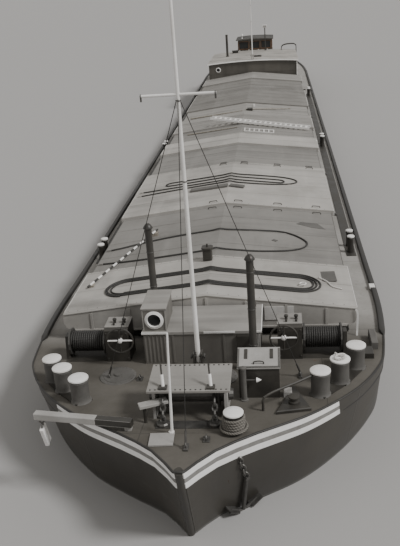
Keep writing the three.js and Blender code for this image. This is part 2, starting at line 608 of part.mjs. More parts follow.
// Winches beside the cabin; the barge has one a side
const WINCH = { x: 14400, box: [800, 1060], post: [1490, 1530], axis: 190, top: 400, shaft: 25,
  wheelY: 865, wheelAxis: 320, wheelRadius: 140, wheelShaft: 13 };
function winchFrame(sign) {
  const span = ([a, b]) => (sign > 0 ? [a, b] : [-b, -a]);
  const gearbox = alongY([[-150, -60], [160, -60], [160, WINCH.top - 20], [110, WINCH.top], [-150, WINCH.top]],
    ...span(WINCH.box));
  const post = alongY([[-110, -60], [110, -60], [50, 270], [-50, 270]], ...span(WINCH.post));
  const bed = box([-150, 150], span([WINCH.box[0], WINCH.post[1]]), [-60, 14]);
  const drumBore = bore([0, sign * 1000, WINCH.axis], [0, sign * 1560, WINCH.axis], WINCH.shaft);
  const wheelY = sign * WINCH.wheelY;
  const wheelBore = bore([60, wheelY, WINCH.wheelAxis], [200, wheelY, WINCH.wheelAxis], WINCH.wheelShaft);
  const lugs = [-35, 70].map((y) => rod([60, sign * 930 + y, WINCH.top - 6], [60, sign * 930 + y, WINCH.top + 30],
    12, 12, 8));
  return cut(join(gearbox, post, bed, ...lugs), drumBore, wheelBore);
}

function winchDrum(sign) {
  const [inner, outer] = [WINCH.box[1], WINCH.post[0]];
  const part = (a, b, r) => rod([0, sign * a, 0], [0, sign * b, 0], r, r, 14);
  return join(part(inner - 50, outer + 30, WINCH.shaft), part(inner + 12, inner + 30, 150),
    part(inner + 20, outer - 20, 92), part(outer - 30, outer - 12, 150));
}

// Locker with a sloping lid
const LOCKER = { x: [15200, 15430], y: [430, 815], fore: 330, aft: 400, wall: 18, lid: 16, hinge: 14 };
const lockerSlope = (LOCKER.fore - LOCKER.aft) / (LOCKER.x[1] - LOCKER.x[0]);
function locker() {
  const x1 = (LOCKER.x[1] - LOCKER.x[0]) / 2;
  const x0 = -x1;
  const half = (LOCKER.y[1] - LOCKER.y[0]) / 2;
  const body = alongY([[x0, -60], [x1, -60], [x1, LOCKER.fore], [x0, LOCKER.aft]], -half, half);
  return cut(body, box([x0 + LOCKER.wall, x1 - LOCKER.wall], [-half + LOCKER.wall, half - LOCKER.wall],
    [25, 2 * LOCKER.aft]));
}

function lockerLid() {
  const half = (LOCKER.y[1] - LOCKER.y[0]) / 2 + 12;
  const reach = LOCKER.x[1] - LOCKER.x[0] + LOCKER.hinge + 11;
  const outline = [[0, 0], [reach, reach * lockerSlope], [reach, reach * lockerSlope + LOCKER.lid], [0, LOCKER.lid]];
  const knuckle = LOCKER.lid / 2 + 2;
  return join(alongY(outline, -half, half),
    rod([0, -half, LOCKER.lid / 2], [0, half, LOCKER.lid / 2], knuckle, knuckle, 10));
}

// Masts stand in tabernacles and fold aft about a pin
function mastPole(height, radius, tipRadius, pinRadius, halfPin) {
  return join(rod([0, 0, -60], [0, 0, height], radius, tipRadius), rod([0, -halfPin, 0], [0, halfPin, 0], pinRadius));
}

function foremast() {
  const height = MAST.top - MAST.pivot;
  const yard = MAST.yard - MAST.pivot;
  return join(mastPole(height, MAST.radius, 12, MAST.pin, 62),
    rod([0, -MAST.yardHalf, yard], [0, MAST.yardHalf, yard], 11, 11, 8),
    rod([0, -MAST.yardHalf + 8, yard], [0, -MAST.yardHalf + 8, yard - 45], 7, 7, 6),
    rod([0, MAST.yardHalf - 8, yard], [0, MAST.yardHalf - 8, yard - 45], 7, 7, 6),
    rod([0, 0, height], [0, 0, height + 20], 22, 8, 10));
}

function mastShoe() {
  const base = deckHeight(MAST.x);
  const cheek = (y) => cut(box([-50, 50], [y - 7, y + 7], [-40, MAST.pivot - base + 45]),
    bore([0, -80, MAST.pivot - base], [0, 80, MAST.pivot - base], MAST.pin));
  return join(box([-90, 90], [-95, 95], [-40, 14]), cheek(38), cheek(-38));
}

// Rudder hung on its stock, with the quadrant above the deck
function rudder() {
  const { stock, aft, x, bottom, top, thickness } = RUDDER;
  const deck = deckHeight(x);
  const blade = alongY([[stock, bottom], [stock, top - 60], [-260, top], [aft - x, top - 40], [aft - x, bottom + 90],
    [aft - x + 120, bottom]], -thickness / 2, thickness / 2);
  const arc = Array.from({ length: 13 }, (_, k) => (k / 12 - 0.5) * Math.PI * 0.5 + Math.PI);
  const quadrant = alongZ([[0, 30], ...arc.map((a) => [330 * Math.cos(a), 330 * Math.sin(a)]), [0, -30]],
    deck + 62, deck + 86);
  return join(blade, quadrant, rod([0, 0, bottom], [0, 0, deck + 120], stock, stock, 20));
}

// Anchor: shank, crown and two palms, hanging with its flukes down, in the XZ plane
function anchor() {
  const rise = Math.atan2(90, 150);
  const arm = (sign) => join(rod([0, 0, 0], [sign * 150, 0, 90], 20, 15, 8),
    solid(new THREE.BoxGeometry(130, 90, 14).rotateY(-sign * rise).translate(sign * 128, 0, 80)));
  return join(rod([0, 0, -10], [0, 0, 430], 21, 15, 8), arm(1), arm(-1), rod([0, -20, 425], [0, 20, 425], 24, 24, 8));
}

// The anchor hangs against the port bow by a shackle under the rail
function portAnchor() {
  const foot = [16041, 450, 600];
  const along = Math.atan2(330, -262); // the port bow's run in plan
  const hung = geometryOf(anchor()).rotateX(0.2).rotateZ(along).translate(...foot);
  return seated(join(solid(hung), chain([16108, 503, 1035], [16190, 452, 1290], 24, 8)));
}

// A timber cathead lies across the starboard rail, with a painted block hanging from its end
const CATHEAD = { heel: [16050, -500], tip: [15910, -1430], foot: [[15995, 16060], [-570, -510]] };
function cathead() {
  const { heel, tip, foot } = CATHEAD;
  const low = deckHeight(heel[0]) + RAIL.height + 2;
  const run = [tip[0] - heel[0], tip[1] - heel[1]];
  const beam = solid(new THREE.BoxGeometry(Math.hypot(...run), 70, 62).rotateZ(Math.atan2(run[1], run[0]))
    .translate((heel[0] + tip[0]) / 2, (heel[1] + tip[1]) / 2, low + 31));
  const post = box(...foot, [DEPTH, low + 10]);
  const hook = [tip[0] + 12, tip[1] + 55];
  const block = solid(new THREE.BoxGeometry(90, 34, 230).rotateY(0.35).translate(hook[0] - 36, hook[1], low - 195));
  return seated(join(beam, post, block, chain([...hook, low + 12], [...hook, low - 100], 20, 8)));
}

// Wire rope lying on the covers in long bights; routes are [x, y] on the pitched roof
const WIRE = 11; // radius of the tow wire
const roofTop = (y, lift) => COVER.ridge + lift - coverSlope * Math.abs(y);
const WIRE_END = -1555; // where a wire stops at its lug
const MIDDLE_WIRE = [[12330, WIRE_END], [12360, -1300], [12380, -950], [12380, -550], [12375, -230], [12355, 19],
  [12346, 279], [12329, 565], [12228, 931], [12108, 1119], [11975, 1200], [11833, 1215], [11659, 1123], [11517, 975],
  [11465, 808], [11487, 556], [11528, 248], [11570, 0], [11575, -371], [11610, -800], [11690, -1150], [11770, -1400],
  [11800, WIRE_END]];
const AFT_WIRE = [[9180, WIRE_END], [9140, -1150], [9110, -700], [9100, -250], [9125, 150], [9120, 520], [9060, 860],
  [8960, 1070], [8800, 1165], [8650, 1080], [8570, 860], [8560, 520], [8575, 130], [8582, -300], [8580, -750],
  [8580, -1090], [8608, -1157], [8675, -1185], [8742, -1157], [8770, -1090], [8775, -750], [8770, -300],
  [8765, 130], [8765, 520], [8770, 850], [8798, 917], [8865, 945], [8932, 917], [8960, 850], [8962, 520],
  [8958, 130], [8955, -300], [8952, -800], [8950, -1200], [8950, WIRE_END]];

// A wire through its plan points, lying on the roof and bending over the ridge
function roofWire(route, lift, steps) {
  const plan = new THREE.CatmullRomCurve3(route.map(([x, y]) => new THREE.Vector3(x, y, 0)));
  return pipe(plan.getSpacedPoints(steps).map(({ x, y }) => {
    const over = 11 * Math.exp(-((y / 90) ** 2));
    return [x, y, roofTop(y, lift) + WIRE + 2 * FIT + over];
  }), WIRE, steps);
}
const HANK = { x: 13380, radius: 215, band: 110, ends: [-1030, 1060] };

// The fore wire lies in a flat hank of several turns: a ring with long legs, over the ridge
function foreWire() {
  const { x, radius, band: width, ends } = HANK;
  const straight = [-700, -350, -60, 0, 60, 350, 700];
  const halfTurn = (y, start) => Array.from({ length: 9 }, (_, k) => {
    const angle = start + Math.PI * k / 8;
    return { at: [x, y], out: [Math.cos(angle), Math.sin(angle)] };
  });
  const leg = (side, ys) => ys.map((y) => ({ at: [x, y], out: [side, 0] }));
  const stops = [...leg(1, straight), ...halfTurn(ends[1], 0), ...leg(-1, straight.slice().reverse()),
    ...halfTurn(ends[0], Math.PI)];
  return loft(stops.map(({ at, out }) => [[-1, 1], [1, 1], [1, 0], [-1, 0]].map(([side, up]) => {
    const reach = radius + side * width / 2;
    const y = at[1] + out[1] * reach;
    return [at[0] + out[0] * reach, y, roofTop(y, COVER.step) + 2 * FIT + up * 2 * WIRE];
  })), true);
}

// Placing
const river = new THREE.Group();
function place(name, body, finish, at = [0, 0, 0], turn = [0, 0, 0]) {
  const geometry = body.isBufferGeometry ? body : geometryOf(body);
  geometry.computeVertexNormals();
  const mesh = new THREE.Mesh(geometry, finish);
  mesh.name = name;
  mesh.position.set(...at);
  mesh.rotation.set(...turn);
  river.add(mesh);
}

place('hull', hull(), HULL_BLACK);
place('gunwale_rail', gunwaleRail(), GEAR_BLACK);
place('rub_belt', rubBelt(), GEAR_BLACK);
place('hold_coaming', coaming(), GEAR_BLACK);
for (let i = 0; i < COVER_SEAMS.length - 1; i += 1) {
  const body = i === 0 ? frontCover() : hatchCover(i);
  place(`hatch_cover_${String(i + 1).padStart(2, '0')}`, body, i % 2 ? COVER_DARK : COVER_GREY);
}

for (const [side, body] of Object.entries(houseWalls())) place(`deckhouse_${side}_wall`, body, HOUSE_BLACK);
place('deckhouse_roof', houseRoof(), DECK_BROWN);
for (const [side, body] of Object.entries(wheelhouseWalls())) place(`wheelhouse_${side}_wall`, body, HOUSE_BLACK);
place('wheelhouse_roof', camberedRoof(WHEELHOUSE), HOUSE_BLACK);

// Doors, each about its hinge line, lie against the outside of their wall
const proud = DOOR.half + FIT;
place('deckhouse_door', doorLeaf(HOUSE_DOOR.y, HOUSE_DOOR.z, -1), WOOD,
  [HOUSE.aft - proud, HOUSE_DOOR.y[1] + DOOR.lap, HOUSE_DOOR.z[0] - DOOR.lap], [0, 0, -Math.PI / 2]);
place('wheelhouse_door', doorLeaf(WHEELHOUSE_DOOR.x, WHEELHOUSE_DOOR.z, 1, WHEELHOUSE_GLASS), WOOD,
  [WHEELHOUSE_DOOR.x[0] - DOOR.lap, WHEELHOUSE.halfWidth + proud, WHEELHOUSE_DOOR.z[0] - DOOR.lap]);
const wheelFloor = deckHeight(WHEELHOUSE.fore);
const wheelAxis = wheelFloor + 600;
place('steering_pedestal', cut(seated(join(box([-9640, -9500], [-70, 70], [DEPTH - 20, wheelAxis - 40]),
  box([-9660, -9480], [-90, 90], [wheelAxis - 40, wheelAxis + 40]))),
bore([-9700, 0, wheelAxis], [-9600, 0, wheelAxis], STEERING.shaft)), GEAR_BLACK);
place('steering_wheel', spokedWheel(STEERING.radius, 13, 6, [[-20, 0, 0], [120, 0, 0]], STEERING.shaft), WOOD,
  [STEERING.x, 0, wheelAxis]);

place('fore_cabin_walls', cabinWalls(), DECK_BROWN);
place('fore_cabin_roof', cabinRoof(), COVER_DARK);
place('companion_hood', companionHood(), DECK_BROWN);
place('fore_cabin_door', doorLeaf(CABIN_DOOR.y, CABIN_DOOR.z, -1), GEAR_BLACK,
  [CABIN.fore + proud, CABIN_DOOR.y[0] - DOOR.lap, CABIN_DOOR.z[0] - DOOR.lap], [0, 0, Math.PI / 2]);

place('bow_bollards_port', bowBollards('port'), GEAR_BLACK);
place('bow_bollards_starboard', bowBollards('starboard'), GEAR_BLACK);
const fittings = [
  ['rope_bollard', ROPE_BOLLARD.x, ROPE_BOLLARD.y, ropeBollard(), GEAR_BLACK],
  ['windlass_frame', WINDLASS.x, 0, windlassFrame(), LIGHT_GREY],
  ['anchor_chain_pipes', 15960, 0, chainPipes(), STEEL],
  ['foremast_shoe', MAST.x, MAST.y, mastShoe(), GEAR_BLACK],
  ['locker', (LOCKER.x[0] + LOCKER.x[1]) / 2, (LOCKER.y[0] + LOCKER.y[1]) / 2, locker(), GEAR_BLACK],
  ['port_winch_frame', WINCH.x, 0, winchFrame(1), GEAR_BLACK],
  ['starboard_winch_frame', WINCH.x, 0, winchFrame(-1), GEAR_BLACK],
];
for (const [name, x, y, body, finish] of fittings) {
  const set = onDeck(x, y, body);
  place(name, set.body, finish, set.place);
}
place('stern_fittings', sternFittings(), GEAR_BLACK);
place('port_side_bollards', sideBollards(1), GEAR_BLACK);
place('starboard_side_bollards', sideBollards(-1), GEAR_BLACK);

place('windlass_barrel', windlassBarrel(), STEEL, [WINDLASS.x, 0, deckHeight(WINDLASS.x) + WINDLASS.axis]);
const winchAxis = deckHeight(WINCH.x) + WINCH.axis;
for (const [side, sign] of [['port', 1], ['starboard', -1]]) {
  place(`${side}_winch_drum`, winchDrum(sign), STEEL, [WINCH.x, 0, winchAxis]);
  place(`${side}_hand_wheel`, spokedWheel(WINCH.wheelRadius, 8, 4, [[-150, 0, 0], [14, 0, 0]],
    WINCH.wheelShaft), STEEL, [WINCH.x + 270, sign * WINCH.wheelY, deckHeight(WINCH.x) + WINCH.wheelAxis]);
}
place('locker_lid', lockerLid(), LIGHT_GREY, [LOCKER.x[0] - LOCKER.hinge, (LOCKER.y[0] + LOCKER.y[1]) / 2,
  deckHeight((LOCKER.x[0] + LOCKER.x[1]) / 2) + LOCKER.aft - LOCKER.hinge * lockerSlope + FIT]);
place('foremast', foremast(), WHITE, [MAST.x, MAST.y, MAST.pivot]);
place('deckhouse_mast', mastPole(AFT_MAST.top - AFT_MAST.pivot, AFT_MAST.radius, 9, AFT_MAST.pin, 58), WHITE,
  [AFT_MAST.x, 0, AFT_MAST.pivot]);
const STAFF = { x: 16110, y: -138, lean: 42, top: 2480 };
const staffDeck = deckHeight(STAFF.x);
place('jackstaff', seated(join(
  rod([STAFF.x, STAFF.y, staffDeck - 90], [STAFF.x, STAFF.y + STAFF.lean, STAFF.top], 14, 9, 10),
  rod([STAFF.x, STAFF.y, staffDeck - 90], [STAFF.x, STAFF.y, staffDeck + 30], 34, 26, 10))), WHITE);
place('rudder', rudder(), GEAR_BLACK, [RUDDER.x, 0, 0]);
place('port_anchor', portAnchor(), STEEL);
place('cathead', cathead(), LIGHT_GREY);
place('tow_wire_fore', foreWire(), STEEL);
place('tow_wire_middle', roofWire(MIDDLE_WIRE, 0, 52), STEEL);
place('tow_wire_aft', roofWire(AFT_WIRE, COVER.step, 78), STEEL);

export default river;
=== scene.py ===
"""River barge at half scale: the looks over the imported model. Metres, +X is the bow, +Y is port."""
import json
import math

import bmesh
import bpy
import numpy as np
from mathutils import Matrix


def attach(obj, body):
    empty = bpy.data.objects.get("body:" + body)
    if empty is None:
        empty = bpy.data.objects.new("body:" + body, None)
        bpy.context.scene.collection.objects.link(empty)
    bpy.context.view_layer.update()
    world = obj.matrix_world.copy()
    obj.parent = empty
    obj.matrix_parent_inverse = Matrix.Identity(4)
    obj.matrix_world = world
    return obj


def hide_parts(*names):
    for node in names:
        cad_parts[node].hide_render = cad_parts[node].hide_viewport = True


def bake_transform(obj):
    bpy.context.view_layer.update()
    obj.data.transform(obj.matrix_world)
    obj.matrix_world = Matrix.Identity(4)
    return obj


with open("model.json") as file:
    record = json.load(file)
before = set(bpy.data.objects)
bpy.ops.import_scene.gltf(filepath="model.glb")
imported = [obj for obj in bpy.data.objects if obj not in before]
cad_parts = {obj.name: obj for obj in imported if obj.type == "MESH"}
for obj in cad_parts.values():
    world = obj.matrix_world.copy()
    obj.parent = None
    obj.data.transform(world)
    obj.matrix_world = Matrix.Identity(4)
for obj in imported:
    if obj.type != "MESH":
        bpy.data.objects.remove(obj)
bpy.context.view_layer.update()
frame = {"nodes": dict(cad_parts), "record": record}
NODES = frame["nodes"]
WATERLINE = 0.62
DECK_LEVEL = 1.25
HALF_BEAM = 2.05


def make_camera():
    """A camera above the bow that looks aft and down, as the photograph's does."""
    data = bpy.data.cameras.new("camera")
    data.lens, data.sensor_width = 48.86, 36.0
    camera = bpy.data.objects.new("camera", data)
    camera.location = (21.5687, 0.8787, 5.2208)
    camera.rotation_euler = [math.radians(angle) for angle in (68.035, 3.899, 95.34)]
    data.clip_end = 400.0
    bpy.context.scene.collection.objects.link(camera)
    bpy.context.scene.camera = camera


# Shapes as (points, quads, triangles)
NO_FACES = np.empty((0, 3), int)


def shell(rings, closed=False):
    """A skin over rings of points, each ring closed; the ends are closed by fans to their middles,
    unless the rings run round to the first one."""
    rings = np.asarray(rings, float)
    m, n = rings.shape[:2]
    i = np.arange(m if closed else m - 1)[:, None]
    j = np.arange(n)[None, :]
    here, there = i * n, ((i + 1) % m) * n
    quads = np.stack([here + j, here + (j + 1) % n, there + (j + 1) % n, there + j], -1).reshape(-1, 4)
    points = rings.reshape(-1, 3)
    if closed:
        return points, quads, NO_FACES
    k, last, side = m * n, (m - 1) * n, np.arange(n)
    first_fan = np.stack([np.full(n, k), (side + 1) % n, side], -1)
    last_fan = np.stack([np.full(n, k + 1), last + side, last + (side + 1) % n], -1)
    return np.vstack([points, rings[[0, -1]].mean(1)]), quads, np.vstack([first_fan, last_fan])


def xyz(x, y, z):
    """Points from three coordinates, any of them one value for all."""
    return np.stack(np.broadcast_arrays(x, y, z), -1).astype(float)


def directions(path, closed):
    """Unit tangents of a path: the difference of each point's neighbours, over its length."""
    if closed:
        run = np.roll(path, -1, 0) - np.roll(path, 1, 0)
    else:
        run = np.gradient(path, axis=0)
    return run / np.linalg.norm(run, axis=1, keepdims=True)


def carried(path, section, up=(0.0, 0.0, 1.0), closed=False):
    """A profile of (across, above) points carried along a path: point = path + across * side
    + above * lift, where side is square to the path and to up, and lift is square to both."""
    path, section = np.asarray(path, float), np.asarray(section, float)
    along = directions(path, closed)
    side = np.cross(along, up)
    side /= np.linalg.norm(side, axis=1, keepdims=True)
    lift = np.cross(side, along)
    rings = path[:, None] + section[None, :, :1] * side[:, None] + section[None, :, 1:] * lift[:, None]
    return shell(rings, closed)


def disc(radius, sides=12, flat=1.0):
    """Points on a circle: (radius cos a, radius flat sin a)."""
    angle = np.linspace(0, 2 * np.pi, sides, endpoint=False)
    return np.stack([radius * np.cos(angle), radius * flat * np.sin(angle)], -1)


def bar(start, end, radius, sides=10, up=(0.0, 0.0, 1.0)):
    """A round bar from start to end."""
    return carried([start, end], disc(radius, sides), up)


def slat(start, end, width, height, up=(0.0, 0.0, 1.0), chamfer=0.18):
    """A bar with a chamfered rectangular section, its middle on the line from start to end."""
    w, h = width / 2, height / 2
    c = min(w, h) * chamfer
    section = [(-w, -h + c), (-w + c, -h), (w - c, -h), (w, -h + c), (w, h - c), (w - c, h), (-w + c, h),
               (-w, h - c)]
    return carried([start, end], section, up)


def block(low, high, chamfer=0.12):
    """A chamfered box between two corners, run along its longest side."""
    low, high = np.asarray(low, float), np.asarray(high, float)
    size, middle = high - low, (low + high) / 2
    axis = int(np.argmax(size))
    half = np.zeros(3)
    half[axis] = size[axis] / 2
    up = (0.0, 0.0, 1.0) if axis != 2 else (1.0, 0.0, 0.0)
    across = {0: (1, 2), 1: (0, 2), 2: (1, 0)}[axis]
    return slat(middle - half, middle + half, size[across[0]], size[across[1]], up, chamfer)


def turned(profile, centre, axis=2, sides=24):
    """A profile of (radius, height) points turned about an axis through centre:
    (radius cos a, radius sin a, height), with the axis's own coordinate as the height."""
    profile = np.asarray(profile, float)
    angle = np.linspace(0, 2 * np.pi, sides, endpoint=False)
    r, h = profile[:, :1], profile[:, 1:]
    flat = [r * np.cos(angle), r * np.sin(angle)]
    order = {0: (h + 0 * flat[0], flat[0], flat[1]), 1: (flat[1], h + 0 * flat[0], flat[0]),
             2: (flat[0], flat[1], h + 0 * flat[0])}[axis]
    return shell(np.stack(order, -1) + np.asarray(centre, float))


def ring(centre, radius, thick, axis=2, sides=28, flat=1.0):
    """A torus: a circle of radius thick carried round a circle about the axis."""
    angle = np.linspace(0, 2 * np.pi, sides, endpoint=False)
    flatwise = [radius * np.cos(angle), radius * np.sin(angle)]
    zero = np.zeros(sides)
    path = np.stack({0: (zero, flatwise[0], flatwise[1]), 1: (flatwise[1], zero, flatwise[0]),
                     2: (flatwise[0], flatwise[1], zero)}[axis], -1)
    up = np.eye(3)[axis]
    return carried(path + np.asarray(centre, float), disc(thick, 8, flat), up, closed=True)


def repeated(part, places, turns=None):
    """Copies of a part at each place, each turned about Z by its angle first."""
    points, quads, triangles = part
    places = np.asarray(places, float)
    turns = np.zeros(len(places)) if turns is None else np.asarray(turns, float)
    c, s = np.cos(turns), np.sin(turns)
    spin = np.zeros((len(places), 3, 3))
    spin[:, 0, 0], spin[:, 0, 1], spin[:, 1, 0], spin[:, 1, 1], spin[:, 2, 2] = c, -s, s, c, 1
    moved = np.einsum("kij,nj->kni", spin, points) + places[:, None]
    step = np.arange(len(places))[:, None, None] * len(points)
    quads, triangles = quads[None] + step, triangles[None] + step
    return moved.reshape(-1, 3), quads.reshape(-1, 4), triangles.reshape(-1, 3)


def rivets(places, radius=0.007, axis=2, sides=6):
    """Low domes at many places."""
    dome = [(radius, -0.4 * radius), (radius, 0.0), (0.7 * radius, 0.45 * radius),
            (0.25 * radius, 0.6 * radius)]
    return repeated(turned(dome, (0, 0, 0), axis, sides), places)


def spline(p, steps):
    """Catmull-Rom between the second row of p and the last but one, with the given steps a span."""
    t = np.linspace(0, 1, steps, endpoint=False)[None, :, None]
    a, b, c, d = (p[k:len(p) - 3 + k, None] for k in range(4))
    inner = 0.5 * (2 * b + (c - a) * t + (2 * a - 5 * b + 4 * c - d) * t ** 2
                   + (3 * b - a - 3 * c + d) * t ** 3)
    return np.vstack([inner.reshape(-1, p.shape[1]), p[-2:-1]])


def curve(points, steps):
    """A smooth curve through points, with the given steps between two of them."""
    points = np.asarray(points, float)
    return spline(np.vstack([2 * points[:1] - points[1:2], points, 2 * points[-1:] - points[-2:-1]]), steps)


def face_outwards(mesh):
    """Turns a mesh's faces to its outside."""
    work = bmesh.new()
    work.from_mesh(mesh)
    bmesh.ops.recalc_face_normals(work, faces=work.faces)
    work.to_mesh(mesh)
    work.free()


def settled(made, finish, body, smooth, replaces=()):
    """Shades and paints an object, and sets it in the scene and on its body."""
    made.data.shade_smooth()
    if smooth:
        made.data.set_sharp_from_angle(angle=math.radians(smooth))
    made.data.materials.append(finish)
    bpy.context.scene.collection.objects.link(made)
    if body:
        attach(made, body)
    if replaces:
        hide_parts(*replaces)
    return made


def piece(name, parts, finish, body="barge", smooth=40, replaces=(), bevel=0.0):
    """One object from several shapes, its faces turned outwards, riding on a body."""
    points, faces, start = [], [], 0
    for part_points, quads, triangles in parts:
        points.append(part_points)
        faces += (quads + start).tolist() + (triangles + start).tolist()
        start += len(part_points)
    mesh = bpy.data.meshes.new(name)
    mesh.from_pydata(np.vstack(points).tolist(), [], faces)
    face_outwards(mesh)
    made = bpy.data.objects.new(name, mesh)
    if bevel:
        rounding = made.modifiers.new("edges", "BEVEL")
        rounding.width, rounding.segments, rounding.limit_method = bevel, 2, "ANGLE"
    return settled(made, finish, body, smooth, replaces)


# Materials
class Finish:
    """A Principled material read by Object coordinates, with short calls for its nodes."""

    def __init__(self, name, rough=0.6, metal=0.0, **sockets):
        self.material = bpy.data.materials.new(name)
        self.material.use_nodes = True
        self.tree = self.material.node_tree
        self.shader = self.tree.nodes["Principled BSDF"]
        self.shader.inputs["Roughness"].default_value = rough
        self.shader.inputs["Metallic"].default_value = metal
        for socket, value in sockets.items():
            self.shader.inputs[socket.replace("_", " ")].default_value = value
        self.place = self.tree.nodes.new("ShaderNodeTexCoord").outputs["Object"]

    def node(self, kind, settings=(), **inputs):
        """A shader node with its inputs set or linked; the input i3 is the one with that number."""
        made = self.tree.nodes.new(kind)
        for key, value in dict(settings).items():
            setattr(made, key, value)
        for key, value in inputs.items():
            socket = made.inputs[int(key[1:])] if key[0] == "i" and key[1:].isdigit() else made.inputs[key]
            if isinstance(value, bpy.types.NodeSocket):
                self.tree.links.new(value, socket)
            else:
                socket.default_value = value
        return made

    def noise(self, scale, detail, rough, stretch=(1.0, 1.0, 1.0)):
        """Noise in Object coordinates, drawn out along the axes whose stretch is small."""
        spread = self.node("ShaderNodeMapping", Vector=self.place, Scale=stretch).outputs[0]
        return self.node("ShaderNodeTexNoise", Vector=spread, Scale=scale, Detail=detail,
                         Roughness=rough).outputs["Fac"]

    def ramp(self, value, low, high, to=(0.0, 1.0)):
        """A straight step of value from low to high, kept inside to."""
        return self.node("ShaderNodeMapRange", {"clamp": True}, Value=value, i1=low, i2=high, i3=to[0],
                         i4=to[1]).outputs[0]

    def maths(self, how, a, b=0.0):
        return self.node("ShaderNodeMath", {"operation": how}, i0=a, i1=b).outputs[0]

    def axes(self):
        """The three Object coordinates."""
        split = self.node("ShaderNodeSeparateXYZ", i0=self.place)
        return split.outputs[0], split.outputs[1], split.outputs[2]

    def mix(self, share, a, b):
        """Colour a mixed with a share of colour b, each a socket or three numbers."""
        a, b = (c if isinstance(c, bpy.types.NodeSocket) else (*c, 1.0) for c in (a, b))
        return self.node("ShaderNodeMix", {"data_type": "RGBA"}, i0=share, i6=a, i7=b).outputs[2]

    def spread(self, value, low, high, a, b, most=1.0):
        """Colour a turning to b as value runs from low to high, with at most a share of b."""
        return self.mix(self.ramp(value, low, high, (0.0, most)), a, b)

    def uv(self):
        """The two coordinates of the piece's own UV."""
        layer = self.tree.nodes.new("ShaderNodeUVMap")
        layer.uv_map = "plate"
        split = self.node("ShaderNodeSeparateXYZ", i0=layer.outputs[0])
        return split.outputs[0], split.outputs[1]

    def colour(self, value):
        self.tree.links.new(value, self.shader.inputs["Base Color"])

    def roughness(self, value):
        self.tree.links.new(value, self.shader.inputs["Roughness"])

    def bump(self, height, distance, strength=1.0):
        made = self.node("ShaderNodeBump", Height=height, Distance=distance, Strength=strength)
        self.tree.links.new(made.outputs[0], self.shader.inputs["Normal"])


def grey(value, warm=0.03):
    """A tone of the photograph, a little warm."""
    return (value * (1 + warm), value, value * (1 - 1.6 * warm))


RUST = (0.13, 0.062, 0.032)


def weathered(name, tone, worn, rough, patch, streak, rust):
    """Paint with blotches of its worn tone, dirt runs along streak, rust specks and a fine orange peel."""
    made = Finish(name)
    blotch = made.noise(1.0 / patch, 6.0, 0.62)
    colour = made.spread(blotch, 0.38, 0.68, tone, worn)
    if streak:
        runs = made.noise(2.2, 4.0, 0.55, streak)
        colour = made.spread(runs, 0.5, 0.72, colour, tuple(0.45 * c for c in tone), 0.45)
    spots = made.noise(9.0, 7.0, 0.7)
    edge = 0.72 - 0.12 * rust
    colour = made.spread(spots, edge, edge + 0.05, colour, RUST, min(1.0, 2.2 * rust))
    made.colour(colour)
    made.roughness(made.ramp(blotch, 0.3, 0.7, rough))
    made.bump(made.noise(38.0, 5.0, 0.6), 0.002, 0.35)
    return made.material


def deck(x):
    """Deck height: level amidships, rising with the square of the way past each end of the level part."""
    x = np.asarray(x, float)
    bow = 0.3 * (np.clip(x - 11.0, 0, None) / 5.75) ** 2
    stern = 0.2 * (np.clip(-7.0 - x, 0, None) / 9.75) ** 2
    return DECK_LEVEL + bow + stern


def on_deck(x, lift=0.0):
    """The height of a point above the deck at x."""
    return float(deck(x)) + lift


# Hull sections in millimetres: x and half-breadth at the deck, at the waterline and at the keel
BOW = [
    [16734, 40, 16370, 40, 15900, 30], [16400, 270, 16120, 260, 15620, 170],
    [16100, 620, 15900, 595, 15300, 420], [15755, 1100, 15580, 1030, 14900, 800],
    [15260, 1555, 15110, 1430, 14400, 1170], [14750, 1832, 14600, 1730, 13850, 1480],
    [14350, 1930, 14150, 1890, 13350, 1690], [13550, 2015, 13250, 2030, 12700, 1840],
    [12680, 2050, 12400, 2050, 11900, 1890], [11000, 2050, 11000, 2050, 11000, 1890],
]
STERN = [
    [-7000, 2050, -7000, 2050, -7000, 1890], [-9500, 2050, -9500, 2035, -9000, 1840],
    [-11300, 1960, -11300, 1850, -10900, 1480], [-12950, 1720, -12900, 1460, -12500, 950],
    [-14500, 1380, -14100, 980, -13800, 470], [-15700, 990, -14950, 560, -14900, 170],
    [-16400, 590, -15350, 280, -15500, 60], [-16730, 200, -15500, 60, -15700, 40],
]


def fair(table, steps):
    """A smooth run in metres through the rows of a section table, no wider than the beam."""
    rows = np.asarray(table, float) / 1000
    rows = spline(np.vstack([rows[:1], rows, rows[-1:]]), steps)
    rows[:, 1::2] = np.minimum(rows[:, 1::2], HALF_BEAM)
    return rows


MIDSHIP = np.linspace(11.0, -7.0, 31)[1:-1, None]
AMIDSHIPS = np.hstack([MIDSHIP, np.full_like(MIDSHIP, HALF_BEAM)] * 2
                      + [MIDSHIP, np.full_like(MIDSHIP, 1.89)])
SECTIONS = np.vstack([fair(BOW, 10), AMIDSHIPS, fair(STERN, 10)])


def flats(port):
    """The frame's flat plates between every fifth section, as straight chords, for both sides' loop."""
    stop = np.arange(0, len(port), 5)
    stop = stop if stop[-1] == len(port) - 1 else np.append(stop, len(port) - 1)
    way = np.arange(len(port), dtype=float)
    chord = np.column_stack([np.interp(way, stop, port[stop, k]) for k in range(2)])
    return np.vstack([chord, chord[::-1] * [1, -1]])


